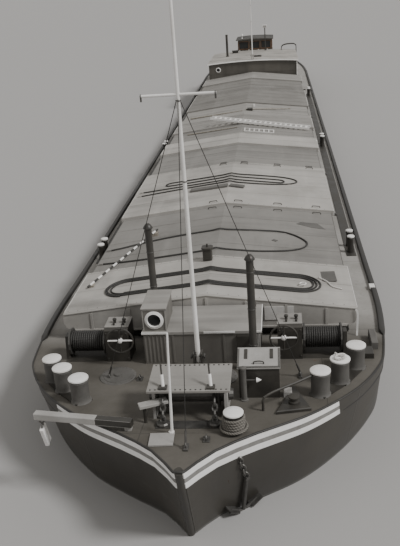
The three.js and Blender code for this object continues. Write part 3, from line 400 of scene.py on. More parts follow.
def level_loop(share, offset):
    """The hull's plan at a share of the way from the deck (0) to the waterline (1), from the stem aft on
    port and forward on starboard, and moved outwards by an offset; share 2 is the bilge, 3 the keel."""
    deck_xy, water, keel = SECTIONS[:, 0:2], SECTIONS[:, 2:4], SECTIONS[:, 4:6]
    if share <= 1:
        port = deck_xy + (water - deck_xy) * share
    elif share == 2:
        port = keel + (water - keel) * np.array([0.35, 0.92])
    else:
        port = keel
    loop = np.vstack([port, port[::-1] * [1, -1]])
    run = np.roll(loop, -1, 0) - np.roll(loop, 1, 0)
    run /= np.linalg.norm(run, axis=1, keepdims=True)
    outwards = np.stack([run[:, 1], -run[:, 0]], -1)
    short = np.clip(((flats(port) - loop) * outwards).sum(1), 0.0, 0.05)
    return loop + (offset + short)[:, None] * outwards


LOOP_DECK = np.concatenate([deck(SECTIONS[:, 0]), deck(SECTIONS[::-1, 0])])


def at_level(share, offset, drop=None):
    """The loop of a level as 3-D points: its height runs from the deck's sheer to the waterline."""
    plan = level_loop(share, offset)
    if drop is not None:
        z = LOOP_DECK - drop
    elif share <= 1:
        z = LOOP_DECK + (WATERLINE - LOOP_DECK) * share
    else:
        z = np.full(len(plan), {2: 0.15, 3: 0.001}[share])
    return np.column_stack([plan, z])


def loop_uv(drops, along):
    """A UV for each corner of a closed skin's quads: u is the way along the loop, v the ring's drop."""
    m, n = len(drops), len(along) - 1
    i, j = np.arange(m)[:, None], np.arange(n)[None, :]
    u = np.stack([along[j] + 0 * i, along[j + 1] + 0 * i, along[j + 1] + 0 * i, along[j] + 0 * i], -1)
    here, there = drops[i], drops[(i + 1) % m]
    v = np.stack([here + 0 * j, here + 0 * j, there + 0 * j, there + 0 * j], -1)
    return np.stack([u, v], -1).reshape(-1, 2)


def add_uv(made, uv):
    """Stores a UV corner by corner as the layer that the finishes read."""
    layer = made.data.uv_layers.new(name="plate")
    layer.data.foreach_set("uv", np.ascontiguousarray(uv, dtype=np.float32).ravel())


def grid_piece(name, rings, finish, uv=None, smooth=40, replaces=()):
    """One closed grid skin, its quads ordered outwards, with its UV kept corner by corner."""
    points, quads, _ = shell(rings, closed=True)
    mesh = bpy.data.meshes.new(name)
    mesh.from_pydata(points.tolist(), [], quads[:, ::-1].tolist())
    made = bpy.data.objects.new(name, mesh)
    if uv is not None:
        add_uv(made, uv.reshape(-1, 4, 2)[:, ::-1].reshape(-1, 2))
    return settled(made, finish, "barge", smooth, replaces)


# Finishes
def hull_side_paint():
    """Near-black paint: three stripes under the bow's deck edge, rub marks, runs, rust and a water mark."""
    made = Finish("hull_side_paint")
    along, drop = made.uv()
    x, _, z = made.axes()
    blotch = made.noise(0.9, 6.0, 0.62)
    base = made.spread(blotch, 0.35, 0.7, grey(0.036, 0.09), grey(0.062, 0.1))
    runs = made.noise(3.2, 5.0, 0.6, (1.0, 1.0, 0.1))
    base = made.spread(runs, 0.55, 0.75, base, grey(0.055, 0.08), 0.5)
    scrape = made.noise(1.3, 6.0, 0.7, (0.12, 0.5, 2.2))
    base = made.spread(scrape, 0.6, 0.66, base, grey(0.1, 0.05), 0.35)
    grime = made.noise(14.0, 6.0, 0.65)
    white = made.spread(grime, 0.45, 0.8, grey(0.95, 0.01), grey(0.74, 0.04), 0.5)
    middle = made.spread(grime, 0.4, 0.75, grey(0.26, 0.03), grey(0.19, 0.05))
    in_grey = made.maths("MULTIPLY", made.ramp(drop, 0.07, 0.072), made.ramp(drop, 0.12, 0.122, (1.0, 0.0)))
    stripes = made.mix(in_grey, white, middle)
    end = made.maths("ADD", x, made.maths("MULTIPLY", drop, 0.45))
    worn = made.ramp(made.noise(26.0, 6.0, 0.7), 0.66, 0.72, (1.0, 0.55))
    low = made.ramp(drop, 0.186, 0.189, (1.0, 0.0))
    where = made.maths("MULTIPLY", made.maths("MULTIPLY", made.ramp(end, 15.5, 15.504), low), worn)
    colour = made.mix(where, base, stripes)
    rust_spots = made.noise(5.0, 8.0, 0.72)
    colour = made.spread(rust_spots, 0.66, 0.74, colour, RUST, 0.55)
    scum = made.maths("MULTIPLY", made.ramp(z, 0.64, 0.652, (1.0, 0.0)), made.ramp(z, 0.6, 0.615))
    colour = made.mix(made.maths("MULTIPLY", scum, made.ramp(blotch, 0.3, 0.6, (0.3, 0.9))), colour,
                      grey(0.15, 0.03))
    under = made.ramp(z, 0.6, 0.612, (1.0, 0.0))
    colour = made.mix(under, colour,
                      made.spread(blotch, 0.4, 0.7, (0.075, 0.033, 0.022), (0.05, 0.05, 0.03)))
    made.colour(colour)
    made.roughness(made.ramp(blotch, 0.3, 0.7, (0.34, 0.6)))
    dents = made.noise(1.6, 3.0, 0.5)
    seam = made.maths("PINGPONG", along, 1.1)
    weld = made.ramp(seam, 0.0, 0.012, (1.0, 0.0))
    made.bump(made.maths("ADD", dents, made.maths("MULTIPLY", weld, 0.25)), 0.02, 0.5)
    return made.material


def deck_paint():
    """Grey side decks and a browner foredeck with weld lines; dark red oxide inside the hold."""
    made = Finish("deck_paint", rough=0.8)
    x, y, z = made.axes()
    blotch = made.noise(1.3, 7.0, 0.65)
    fine = made.noise(16.0, 6.0, 0.7)
    side = made.spread(blotch, 0.35, 0.68, grey(0.36, 0.04), grey(0.27, 0.05))
    fore = made.spread(blotch, 0.38, 0.66, grey(0.105, 0.09), grey(0.068, 0.11))
    colour = made.spread(x, 13.3, 14.2, side, fore)
    colour = made.spread(fine, 0.55, 0.75, colour, grey(0.06, 0.1), 0.3)
    colour = made.spread(made.noise(4.0, 8.0, 0.72), 0.66, 0.74, colour, RUST, 0.45)
    weld_x = made.ramp(made.maths("PINGPONG", x, 1.15), 0.0, 0.01, (1.0, 0.0))
    weld_y = made.ramp(made.maths("PINGPONG", made.maths("ADD", y, 0.42), 0.84), 0.0, 0.008, (1.0, 0.0))
    weld = made.maths("MAXIMUM", weld_x, weld_y)
    colour = made.mix(made.maths("MULTIPLY", weld, 0.45), colour, grey(0.03, 0.1))
    hold = made.spread(fine, 0.4, 0.7, (0.055, 0.03, 0.022), grey(0.05, 0.1))
    colour = made.spread(z, 1.2, 1.205, hold, colour)
    made.colour(colour)
    made.roughness(made.ramp(blotch, 0.3, 0.7, (0.62, 0.88)))
    made.bump(made.maths("ADD", made.maths("MULTIPLY", fine, 0.35), weld), 0.004, 0.6)
    return made.material


def cover_paint(name, tone, worn):
    """Faded cover paint: pale and dark blotches, runs down both slopes, streaks across and rust stains."""
    made = Finish(name, rough=0.78)
    blotch = made.noise(1.1, 7.0, 0.66)
    cloud = made.noise(0.45, 4.0, 0.55)
    runs = made.noise(3.0, 6.0, 0.62, (1.0, 0.09, 0.3))
    across = made.noise(2.4, 5.0, 0.6, (0.12, 1.2, 1.0))
    colour = made.spread(blotch, 0.36, 0.66, tone, worn)
    colour = made.spread(cloud, 0.35, 0.65, colour, tuple(1.22 * c for c in tone), 0.5)
    colour = made.spread(runs, 0.5, 0.7, colour, tuple(0.62 * c for c in worn), 0.55)
    colour = made.spread(across, 0.54, 0.72, colour, tuple(1.3 * c for c in tone), 0.35)
    colour = made.spread(made.noise(7.0, 8.0, 0.72), 0.66, 0.74, colour, (0.14, 0.085, 0.05), 0.5)
    made.colour(colour)
    made.roughness(made.ramp(blotch, 0.3, 0.7, (0.66, 0.9)))
    made.bump(made.maths("ADD", made.noise(2.0, 3.0, 0.5),
                         made.maths("MULTIPLY", made.noise(40.0, 4.0, 0.6), 0.15)), 0.012, 0.35)
    return made.material


def plain_paint(name, tone, worn, rough=(0.45, 0.7), patch=0.35, rust=0.25, fine=60.0, metal=0.0):
    """Paint on small fittings: fine blotches, rust specks, chalking and a light orange peel."""
    made = Finish(name, metal=metal)
    blotch = made.noise(1 / patch, 6.0, 0.65)
    grain = made.noise(fine, 5.0, 0.6)
    colour = made.spread(blotch, 0.38, 0.66, tone, worn)
    colour = made.spread(grain, 0.5, 0.75, colour, tuple(0.6 * c for c in tone), 0.3)
    spots = made.noise(11.0, 8.0, 0.72)
    edge = 0.7 - 0.1 * rust
    colour = made.spread(spots, edge, 0.76 - 0.1 * rust, colour, RUST, min(0.9, 2 * rust))
    made.colour(colour)
    made.roughness(made.ramp(blotch, 0.3, 0.7, rough))
    made.bump(grain, 0.0015, 0.4)
    return made.material


def varnished_wood(name, tone, dark):
    """Planks running up and down: grain is noise drawn out in Z, and their joints come each 90 mm."""
    made = Finish(name, rough=0.45)
    x, y, _ = made.axes()
    grain = made.noise(26.0, 6.0, 0.65, (1.0, 1.0, 0.06))
    colour = made.spread(grain, 0.35, 0.68, tone, dark)
    joint = made.ramp(made.maths("PINGPONG", made.maths("ADD", x, y), 0.045), 0.0, 0.003, (1.0, 0.0))
    colour = made.mix(made.maths("MULTIPLY", joint, 0.7), colour, tuple(0.3 * c for c in dark))
    made.colour(colour)
    made.roughness(made.ramp(grain, 0.3, 0.7, (0.35, 0.6)))
    made.bump(made.maths("SUBTRACT", grain, joint), 0.002, 0.5)
    return made.material


def rope_finish(name, tone, dark, pitch, strands=3, metal=0.0, rough=0.85):
    """Laid rope: diagonal strands from the tube's own UV, u round the rope and v along it in metres."""
    made = Finish(name, rough=rough, metal=metal)
    around, along = made.uv()
    lay = made.maths("ADD", made.maths("MULTIPLY", around, float(strands)),
                     made.maths("MULTIPLY", along, strands / pitch))
    groove = made.maths("PINGPONG", lay, 0.5)
    fuzz = made.noise(120.0, 4.0, 0.7)
    crown = made.ramp(groove, 0.0, 0.32)
    # The grooves between the strands are painted dark as painted shade; the crowns keep the rope's tone.
    colour = made.mix(crown, dark, tone)
    colour = made.spread(fuzz, 0.45, 0.75, colour, dark, 0.5)
    made.colour(colour)
    made.bump(made.maths("ADD", crown, made.maths("MULTIPLY", fuzz, 0.2)), 0.003, 0.8)
    return made.material


def dark_glass():
    """Old window glass with a dark room behind it."""
    made = Finish("window_glass", rough=0.06, Specular_IOR_Level=0.5)
    haze = made.noise(3.0, 4.0, 0.6)
    made.colour(made.spread(haze, 0.3, 0.8, (0.012, 0.013, 0.014), (0.035, 0.037, 0.038)))
    made.roughness(made.ramp(haze, 0.35, 0.75, (0.04, 0.2)))
    return made.material


make_camera()

HULL_SIDE = hull_side_paint()
DECK = deck_paint()
RAIL = plain_paint("rail_paint_worn", grey(0.02, 0.05), grey(0.04, 0.07), (0.4, 0.65), 0.6, 0.35)
COVER_LIGHT = cover_paint("cover_grey", grey(0.375, 0.045), grey(0.25, 0.05))
COVER_MID = cover_paint("cover_dull_grey", grey(0.21, 0.045), grey(0.155, 0.05))
COVER_PLAIN = cover_paint("cover_plain_grey", grey(0.27, 0.045), grey(0.2, 0.05))
COVER_AFT = cover_paint("cover_after_grey", grey(0.185, 0.05), grey(0.135, 0.06))
EDGE_PALE = plain_paint("cover_edge_pale", grey(0.62, 0.025), grey(0.45, 0.04), (0.6, 0.8), 0.5, 0.15)
EDGE_DARK = plain_paint("cover_edge_dark", grey(0.085, 0.05), grey(0.13, 0.05), (0.6, 0.85), 0.4, 0.3)
HOUSE = weathered("house_dark_paint", grey(0.075, 0.09), grey(0.11, 0.09), (0.35, 0.6), 0.8,
                  (1.0, 1.0, 0.1), 0.15)
HOUSE_ROOF = weathered("house_roof_paint", grey(0.36, 0.05), grey(0.24, 0.06), (0.65, 0.85),
                       0.7, None, 0.25)
WHEEL_ROOF = weathered("wheelhouse_roof_paint", grey(0.07, 0.05), grey(0.048, 0.06), (0.6, 0.8),
                       0.6, None, 0.2)
CABIN = weathered("cabin_grey_paint", grey(0.165, 0.06), grey(0.115, 0.07), (0.5, 0.75), 0.6,
                  (1.0, 1.0, 0.12), 0.2)
CABIN_TOP = cover_paint("cabin_top_paint", grey(0.27, 0.045), grey(0.2, 0.05))
BLACK = plain_paint("fitting_black_paint", grey(0.03, 0.08), grey(0.05, 0.1), (0.35, 0.6), 0.25, 0.3)
GREY = plain_paint("light_grey_paint", grey(0.36, 0.03), grey(0.28, 0.04), (0.5, 0.75), 0.4, 0.15)
WHITE = plain_paint("white_paint", grey(0.84, 0.015), grey(0.7, 0.03), (0.35, 0.6), 0.3, 0.06)
IRON = plain_paint("worn_iron", grey(0.085, 0.04), grey(0.14, 0.04), (0.35, 0.6), 0.12, 0.4, 90.0, 0.65)
CHAIN = plain_paint("chain_iron", grey(0.2, 0.03), grey(0.12, 0.05), (0.3, 0.55), 0.05, 0.3, 120.0, 0.8)
MAST = plain_paint("mast_white_paint", grey(0.8, 0.015), grey(0.66, 0.03), (0.4, 0.65), 0.4, 0.05)
WOOD = varnished_wood("varnished_door_wood", (0.17, 0.085, 0.038), (0.08, 0.04, 0.02))
TIMBER = varnished_wood("bare_timber", grey(0.3, 0.1), grey(0.17, 0.12))
GLASS = dark_glass()
WIRE_ROPE = rope_finish("wire_rope_finish", grey(0.07, 0.04), grey(0.018, 0.04), 0.13, 6, 0.5, 0.5)
ROPE_PALE = rope_finish("pale_rope", grey(0.74, 0.03), grey(0.36, 0.05), 0.06)
ROPE_DARK = rope_finish("tarred_rope", grey(0.175, 0.08), grey(0.06, 0.08), 0.07)

FINISH_OF_SLOT = {
    "hull_paint": DECK, "rail_paint": RAIL, "coaming_paint": RAIL, "cover_light": COVER_LIGHT,
    "cover_dark": COVER_MID, "house_paint": HOUSE, "house_roof": HOUSE_ROOF, "wheelhouse_roof": WHEEL_ROOF,
    "door_wood": WOOD, "cabin_paint": CABIN, "fitting_black": BLACK, "light_grey": GREY, "bare_steel": IRON,
    "mast_white": MAST, "wire_rope": WIRE_ROPE,
}
for part in frame["record"]["subparts"]:
    node_mesh = NODES[part["node"]].data
    node_mesh.materials.clear()
    node_mesh.materials.append(FINISH_OF_SLOT[part["material_slot"]])
FINISH_OF_NODE = {"fore_cabin_roof": CABIN_TOP, "hatch_cover_01": COVER_LIGHT, "fore_cabin_door": BLACK,
                  "hatch_cover_07": COVER_PLAIN, "hatch_cover_08": COVER_PLAIN, "hatch_cover_09": COVER_AFT,
                  "hatch_cover_10": COVER_AFT, "hatch_cover_11": COVER_PLAIN}
for name, finish in FINISH_OF_NODE.items():
    NODES[name].data.materials.clear()
    NODES[name].data.materials.append(finish)


# Tow wires, each one long rope laid on the covers; routes are [x, y] in millimetres
MIDDLE_WIRE = [
    [12330, -1555], [12360, -1300], [12380, -950], [12380, -550], [12375, -230], [12355, 19], [12346, 279],
    [12329, 565], [12228, 931], [12108, 1119], [11975, 1200], [11833, 1215], [11659, 1123], [11517, 975],
    [11465, 808], [11487, 556], [11528, 248], [11570, 0], [11575, -371], [11610, -800], [11690, -1150],
    [11770, -1400], [11800, -1555],
]
AFT_WIRE = [
    [9180, -1555], [9140, -1150], [9110, -700], [9100, -250], [9125, 150], [9120, 520], [9060, 860],
    [8960, 1070], [8800, 1165], [8650, 1080], [8570, 860], [8560, 520], [8575, 130], [8582, -300],
    [8580, -750], [8580, -1090], [8608, -1157], [8675, -1185], [8742, -1157], [8770, -1090], [8775, -750],
    [8770, -300], [8765, 130], [8765, 520], [8770, 850], [8798, 917], [8865, 945], [8932, 917],
    [8960, 850], [8962, 520], [8958, 130], [8955, -300], [8952, -800], [8950, -1200], [8950, -1555],
]
WIRE = 0.011
FORE_WIRE = 0.0107
# The covers' ridge, the step of the high covers above the low ones, and the fall of the roof a metre
RIDGE = 1.825
STEP = 0.0323
SLOPE = (RIDGE - 1.625) / 1.65


def roof_top(y, lift=0.0):
    """Height of a cover's roof: falls evenly from the ridge to both sides."""
    return RIDGE + lift - SLOPE * np.abs(y)


def on_roof(x, y, lift, above):
    """A point above the roof of a low cover (lift 0) or a high one (lift STEP)."""
    return np.array([x, y, float(roof_top(y, lift)) + above])


def run_of(path):
    """The way along a path to each of its points."""
    return np.concatenate([[0.0], np.cumsum(np.linalg.norm(np.diff(path, axis=0), axis=1))])


def even(path, spacing):
    """The same path with points at an even spacing along its length."""
    path = np.asarray(path, float)
    way = run_of(path)
    stops = np.linspace(0, way[-1], max(2, int(round(way[-1] / spacing)) + 1))
    return np.column_stack([np.interp(stops, way, path[:, k]) for k in range(path.shape[1])])


def laid_on_roof(plan, lift, radius=WIRE):
    """A plan path set on the roof, with a hump over the ridge: 11 mm times exp(-(y / 90 mm)^2)."""
    y = plan[:, 1]
    return xyz(plan[:, 0], y, roof_top(y, lift) + radius + 0.0006 + 0.011 * np.exp(-((y / 0.09) ** 2)))


def rope_piece(name, path, radius, finish, body="barge", sides=10, up=(0.0, 0.0, 1.0)):
    """A rope as a closed tube along its path: a circle carried along it, with u round it and v along it."""
    path = np.asarray(path, float)
    section = disc(radius, sides)
    points, quads, fans = carried(path, section, up)
    mesh = bpy.data.meshes.new(name)
    mesh.from_pydata(points.tolist(), [], quads.tolist() + fans.tolist())
    made = bpy.data.objects.new(name, mesh)
    way = run_of(path)
    m, n = len(path) - 1, sides
    j = np.arange(n)[None, :] + np.zeros((m, 1))
    here, there = way[:-1, None] + 0 * j, way[1:, None] + 0 * j
    u = np.stack([j, j + 1, j + 1, j], -1) / n
    v = np.stack([here, here, there, there], -1)
    uv = np.vstack([np.stack([u, v], -1).reshape(-1, 2), np.zeros((3 * len(fans), 2))])
    add_uv(made, uv)
    face_outwards(mesh)
    return settled(made, finish, body, None)


def plan_curve(route):
    """A smooth plan path through route points given in millimetres, its bends eased by averaging neighbours
    (1/4, 1/2, 1/4) four times."""
    flat = np.column_stack([np.asarray(route, float) / 1000, np.zeros(len(route))])
    path = even(curve(flat, 24), 0.022)
    for _ in range(4):
        path[1:-1] = 0.25 * path[:-2] + 0.5 * path[1:-1] + 0.25 * path[2:]
    return path


def hank_path(turns=3, x=13.38, radius=0.215, low=-1.03, high=1.06):
    """A flat oblong spiral in plan: straight legs and half circles, moving out 44 mm at each turn."""
    leg, bend, pitch = 60, 26, 0.044
    legs = np.linspace(0, 1, leg, endpoint=False)
    bends = np.linspace(0, np.pi, bend, endpoint=False)
    y = np.concatenate([low + (high - low) * legs, np.full(bend, high), high + (low - high) * legs,
                        np.full(bend, low)])
    out_x = np.concatenate([np.ones(leg), np.cos(bends), -np.ones(leg), np.cos(bends + np.pi)])
    out_y = np.concatenate([np.zeros(leg), np.sin(bends), np.zeros(leg), np.sin(bends + np.pi)])
    share, k = np.divmod(np.arange(turns * len(y)), len(y))
    share = share + k / len(y)
    reach = radius - pitch + pitch * np.clip(share - 0.5, 0, turns - 1)
    plan = np.column_stack([x + out_x[k] * reach, y[k] + out_y[k] * reach])
    return even(plan, 0.022)


for name, route, lift in (("tow_wire_middle", MIDDLE_WIRE, 0.0), ("tow_wire_aft", AFT_WIRE, STEP)):
    path = laid_on_roof(plan_curve(route), lift)
    rope = rope_piece(name + "_rope", path, WIRE, WIRE_ROPE)
    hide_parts(name)
path = laid_on_roof(hank_path(), STEP, FORE_WIRE)
rope = rope_piece("tow_wire_fore_rope", path, FORE_WIRE, WIRE_ROPE)
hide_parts("tow_wire_fore")

# Hull plating, rail, rub belt and stem bar, smooth over the flats of the frame
edge = level_loop(0, 0)
ALONG = run_of(np.vstack([edge, edge[:1]]))
levels = (0.0, 0.1, 0.35, 0.7, 1.0, 2, 3)
outer = [at_level(share, 0.007) for share in levels]
inner = [at_level(share, 0.0005) for share in levels[::-1]]
drops = np.array([0.0] + [float(LOOP_DECK[40] - level[40, 2]) for level in outer[1:]])
grid_piece("hull_plating", np.stack(outer + inner), HULL_SIDE,
           uv=loop_uv(np.concatenate([drops, drops[::-1]]), ALONG))


def rail_rings():
    """The rail's rounded profile carried round the deck edge; a thin lip forward of x = 13.95."""
    x = np.concatenate([SECTIONS[:, 0], SECTIONS[::-1, 0]])
    full = np.where(x < 13.95, 1.0, 0.0)
    out = 0.013 + 0.007 * full
    inside = 0.006 + 0.044 * full
    height = 0.013 + 0.032 * full
    base = -0.004 - 0.014 * full
    corners = np.array([(1, 0, 0.1), (1, 0, 0.75), (0.8, 0.2, 0.97), (0.1, 0.9, 1.0), (0.06, 0.94, 0.97),
                        (0, 1, 0.75), (0, 1, 0.0), (0.5, 0.5, -0.02)])
    edge = level_loop(0, 0.0)
    outward = level_loop(0, 1.0) - edge
    rings = []
    for outer_share, inner_share, up in corners:
        offset = outer_share * out - inner_share * inside
        z = LOOP_DECK + base + (height - base) * up
        rings.append(np.column_stack([edge + outward * offset[:, None], z]))
    return np.stack(rings)


grid_piece("gunwale_rail_smooth", rail_rings(), RAIL, smooth=50, replaces=["gunwale_rail"])


def belt_rings():
    """A half-round strake carried round the hull, 170 mm below the deck edge; it shrinks into the plating
    between x = 15.40 and 15.50."""
    fall = 0.17
    share = fall / (DECK_LEVEL - WATERLINE)
    x = np.concatenate([SECTIONS[:, 0], SECTIONS[::-1, 0]])
    proud = np.clip((15.5 - x) / 0.1, 0, 1)
    rings = []
    for angle in np.linspace(-np.pi / 2, np.pi / 2, 7):
        rings.append(at_level(share, 0.003 + 0.019 * math.cos(angle) * proud,
                              drop=fall - 0.018 * math.sin(angle)))
    rings.append(at_level(share, -0.002, drop=fall))
    return np.stack(rings)


grid_piece("rub_belt_smooth", belt_rings(), RAIL, smooth=50, replaces=["rub_belt"])
stem = np.array([[16.722, 0, 1.548], [16.56, 0, 1.12], [16.372, 0, 0.62], [16.08, 0, 0.2],
                 [15.925, 0, 0.06]])
piece("stem_bar", [carried(even(stem, 0.08), disc(0.041, 16, 0.9), (0, 1, 0))], BLACK)


# Details of walls: mouldings, panes, portholes
def rounded_rectangle(a, b, corner, steps=5):
    """Points round a rectangle of half sizes a and b whose corners are quarter circles."""
    turn = np.linspace(0, np.pi / 2, steps)[None] + np.arange(4)[:, None] * np.pi / 2
    middle = np.array([(1, 1), (-1, 1), (-1, -1), (1, -1)]) * (a - corner, b - corner)
    return (middle[:, None] + corner * np.stack([np.cos(turn), np.sin(turn)], -1)).reshape(-1, 2)


def facing(flat, axis, level):
    """Flat points (a, b) set in the plane square to an axis, at a level along it."""
    level = np.full(len(flat), float(level))
    a, b = np.asarray(flat, float).T
    return np.column_stack({0: (level, a, b), 1: (a, level, b), 2: (a, b, level)}[axis])


def moulding(axis, wall, low, high, out=1, width=0.02, proud=0.01, corner=0.015):
    """A flat moulding with eased edges round an opening from low to high, in a wall square to an axis."""
    low, high = np.asarray(low, float), np.asarray(high, float)
    a, b = (high - low) / 2 + width / 2
    path = facing(rounded_rectangle(a, b, corner + width / 2) + (low + high) / 2, axis, wall)
    w = width / 2
    section = [(-w, -0.003), (w, -0.003), (w, 0.6 * proud), (0.5 * w, proud), (-0.5 * w, proud),
               (-w, 0.6 * proud)]
    return carried(path, section, np.eye(3)[axis] * out, closed=True)


def pane(axis, wall, low, high, out=1, depth=0.014):
    """A sheet of glass a little inside a wall's face, lapping 3 mm into the wall all round."""
    (a0, b0), (a1, b1) = low, high
    level = wall - out * depth
    a0, b0, a1, b1 = a0 - 0.003, b0 - 0.003, a1 + 0.003, b1 + 0.003
    spans = {0: ((level - 0.003, a0, b0), (level + 0.003, a1, b1)),
             1: ((a0, level - 0.003, b0), (a1, level + 0.003, b1))}
    return block(*spans[axis], chamfer=0.3)


def porthole(wall, y, z, radius):
    """A turned ring with a raised bead and eight bolt heads, on a wall that faces forward."""
    profile = [(radius - 0.002, -0.006), (radius + 0.03, -0.006), (radius + 0.03, 0.007),
               (radius + 0.022, 0.012), (radius + 0.01, 0.013), (radius + 0.003, 0.019),
               (radius - 0.002, 0.014)]
    angle = np.linspace(0, 2 * np.pi, 8, endpoint=False)
    reach = radius + 0.02
    bolts = xyz(wall + 0.011, y + reach * np.cos(angle), z + reach * np.sin(angle))
    return [turned(profile + profile[:1], (wall, y, z), 0, 40), rivets(bolts, 0.005, 0)]


def lens(wall, y, z, radius):
    """Round glass: a shallow dome set back in its ring."""
    dome = [(radius, -0.01), (radius, -0.004), (0.7 * radius, 0.0), (0.3 * radius, 0.002)]
    return turned(dome, (wall, y, z), 0, 32)


# Hatch covers: standing seams, riveted end straps, hand grips, two edgings along the sides.
# SEAMS are the joints from the bow aft; the LOOSE covers lift off; high covers are wider than low ones
SEAMS = np.array([13.94, 12.73, 10.28, 7.73, 5.88, 4.98, 3.68, 2.18, 0.68, -2.12, -4.27, -5.74])
LOOSE = {5, 7, 9, 11}
HIGH_HALF, LOW_HALF = 1.688, 1.648


def roof_path(x, half, lift, steps=20):
    """A path across the covers from side to side, over the ridge."""
    y = np.linspace(-half, half, 2 * steps + 1)
    return xyz(x, y, roof_top(y, lift))


def strap(x, half, lift, width, height):
    """A flat strap across a cover, its edges eased."""
    w = width / 2
    section = [(-w, -0.002), (w, -0.002), (w, 0.5 * height), (0.8 * w, height), (-0.8 * w, height),
               (-w, 0.5 * height)]
    return carried(roof_path(x, half, lift), section)


def grip(x, y, lift):
    """A bent-rod hand grip lying along the slope: two feet and a bar 24 mm above the sheet."""
    way = y + np.array([-0.062, -0.058, -0.045, 0.045, 0.058, 0.062])
    path = xyz(x, way, roof_top(way, lift) + [0.0, 0.018, 0.024, 0.024, 0.018, 0.0])
    return carried(curve(path, 4), disc(0.0062, 8), (1.0, 0.0, 0.0))


# The covers that have hand grips, and where along them
GRIPS = {2: (10.46,), 3: (10.23, 7.78), 4: (7.55,)}
for number in range(1, 12):
    fore, aft = SEAMS[number - 1], SEAMS[number]
    high = number % 2 == 1
    lift = STEP if high else 0.0
    half = HIGH_HALF if high else LOW_HALF
    rides = f"hatch_cover_{number:02d}" if number in LOOSE else "barge"
    if high:
        x0 = aft - (0.06 if number < 11 else -0.03)
        x1 = fore + (0.06 if number > 1 else -0.03)
    else:
        x0, x1 = aft + 0.07, fore - 0.07
    count = max(2, int(round((x1 - x0) / 0.62)))
    seams = np.linspace(x0, x1, count + 1)[1:-1]
    sheet = FINISH_OF_NODE.get(f"hatch_cover_{number:02d}", COVER_LIGHT if high else COVER_MID)
    parts = [strap(x, half - 0.002, lift, 0.016, 0.0045) for x in seams]
    parts += [strap(x0 + 0.024, half - 0.001, lift, 0.046, 0.006),
              strap(x1 - 0.024, half - 0.001, lift, 0.046, 0.006)]
    piece(f"cover_{number:02d}_straps", parts, sheet, rides, smooth=30)
    studs = []
    for x in (x0 + 0.024, x1 - 0.024):
        y = np.arange(-half + 0.05, half - 0.04, 0.118)
        studs.append(rivets(xyz(x, y, roof_top(y, lift) + 0.0058), 0.0065))
    piece(f"cover_{number:02d}_rivets", studs, EDGE_DARK if high else COVER_MID, rides, smooth=30)
    if number in GRIPS:
        grips = [grip(x, y, lift) for x in GRIPS[number] for y in (-0.2, 0.2, 0.82, 1.42)]
        piece(f"cover_{number:02d}_grips", grips, BLACK, rides, smooth=50)
    foot = float(roof_top(half, lift)) - 0.08
    edge = []
    for side in (-1, 1):
        for out, above, width, height, chamfer in ((0.004, 0.012, 0.012, 0.022, 0.4),
                                                   (0.001, 0.077, 0.01, 0.01, 0.5)):
            y, z = side * (half + out), foot + above
            edge.append(slat((x0 + 0.004, y, z), (x1 - 0.004, y, z), width, height, chamfer=chamfer))
    # The high covers' edgings are painted pale as a painted highlight, where their side faces catch the
    # light; the low covers' edgings are dark grey.
    piece(f"cover_{number:02d}_edges", edge, EDGE_PALE if high else EDGE_DARK, rides, smooth=30)

# The front cover's face: folded top edge, stiffeners, a bare light plate and the white strip at its corner
face_x = 13.942
face_foot = 1.442
face_y = np.linspace(-1.68, 1.68, 49)
fold = carried(xyz(face_x - 0.006, face_y, roof_top(face_y, STEP) - 0.004), disc(0.013, 10))
ribs = [slat((face_x + 0.003, y, face_foot + 0.015), (face_x + 0.003, y, float(roof_top(y, STEP)) - 0.03),
             0.03, 0.01, (1, 0, 0)) for y in (-1.35, -0.9, -0.45, 0.0, 0.45, 0.9, 1.35)]
foot_rail = slat((face_x + 0.004, -1.58, face_foot + 0.01), (face_x + 0.004, 1.58, face_foot + 0.01), 0.014,
                 0.024)
piece("front_cover_trim", [fold] + ribs + [foot_rail], COVER_LIGHT, smooth=35)
piece("front_cover_plate", [block((face_x, 0.655, 1.535), (face_x + 0.006, 0.985, 1.7), 0.3)], EDGE_PALE,
      smooth=35)
corner_strip = np.array([(13.953, 1.672, 1.648), (13.956, 1.69, 1.6), (13.955, 1.692, 1.5),
                         (13.96, 1.688, 1.4), (13.972, 1.684, 1.33)])
piece("corner_strip", [carried(curve(corner_strip, 6),
                               [(-0.011, -0.002), (0.011, -0.002), (0.011, 0.002), (-0.011, 0.002)],
                               (1, 0, 0))], WHITE)

# Coaming: brackets under the covers, two rods along its sides
stays = []
stay_x = np.arange(-5.35, 13.8, 0.745)
outline = np.array([(0, -0.002), (0.085, -0.002), (0.085, 0.012), (0.012, 0.3), (0, 0.3)])
bracket = shell([xyz(x, outline[:, 0], outline[:, 1]) for x in (-0.008, 0.008)])
for side in (1, -1):
    places = xyz(stay_x, 1.599 * side, deck(stay_x))
    stays.append(repeated(bracket, places, np.full(len(stay_x), 0.0 if side > 0 else np.pi)))
    x = np.linspace(-5.6, 13.84, 60)
    stays += [carried(xyz(x, 1.601 * side, z), disc(0.01, 8)) for z in (deck(x) + 0.022, DECK_LEVEL + 0.2)]
piece("coaming_stanchions", stays, RAIL)

# Things that lie on the covers
vent_at = np.array([12.8, -0.07, 1.8575])
piece("cover_vent", [slat(vent_at - (0, 0, 0.006), vent_at + (0, 0, 0.15), 0.115, 0.115, (1, 0, 0), 0.2),
                     slat(vent_at + (0, 0, 0.146), vent_at + (0, 0, 0.168), 0.14, 0.14, (1, 0, 0), 0.35),
                     bar(vent_at + (0, 0, 0.166), vent_at + (0, 0, 0.205), 0.012, 12, (1, 0, 0)),
                     slat(vent_at + (-0.06, 0.0, 0.02), vent_at + (0.0615, 0.0, 0.02), 0.09, 0.012)], BLACK,
      smooth=35, bevel=0.003)


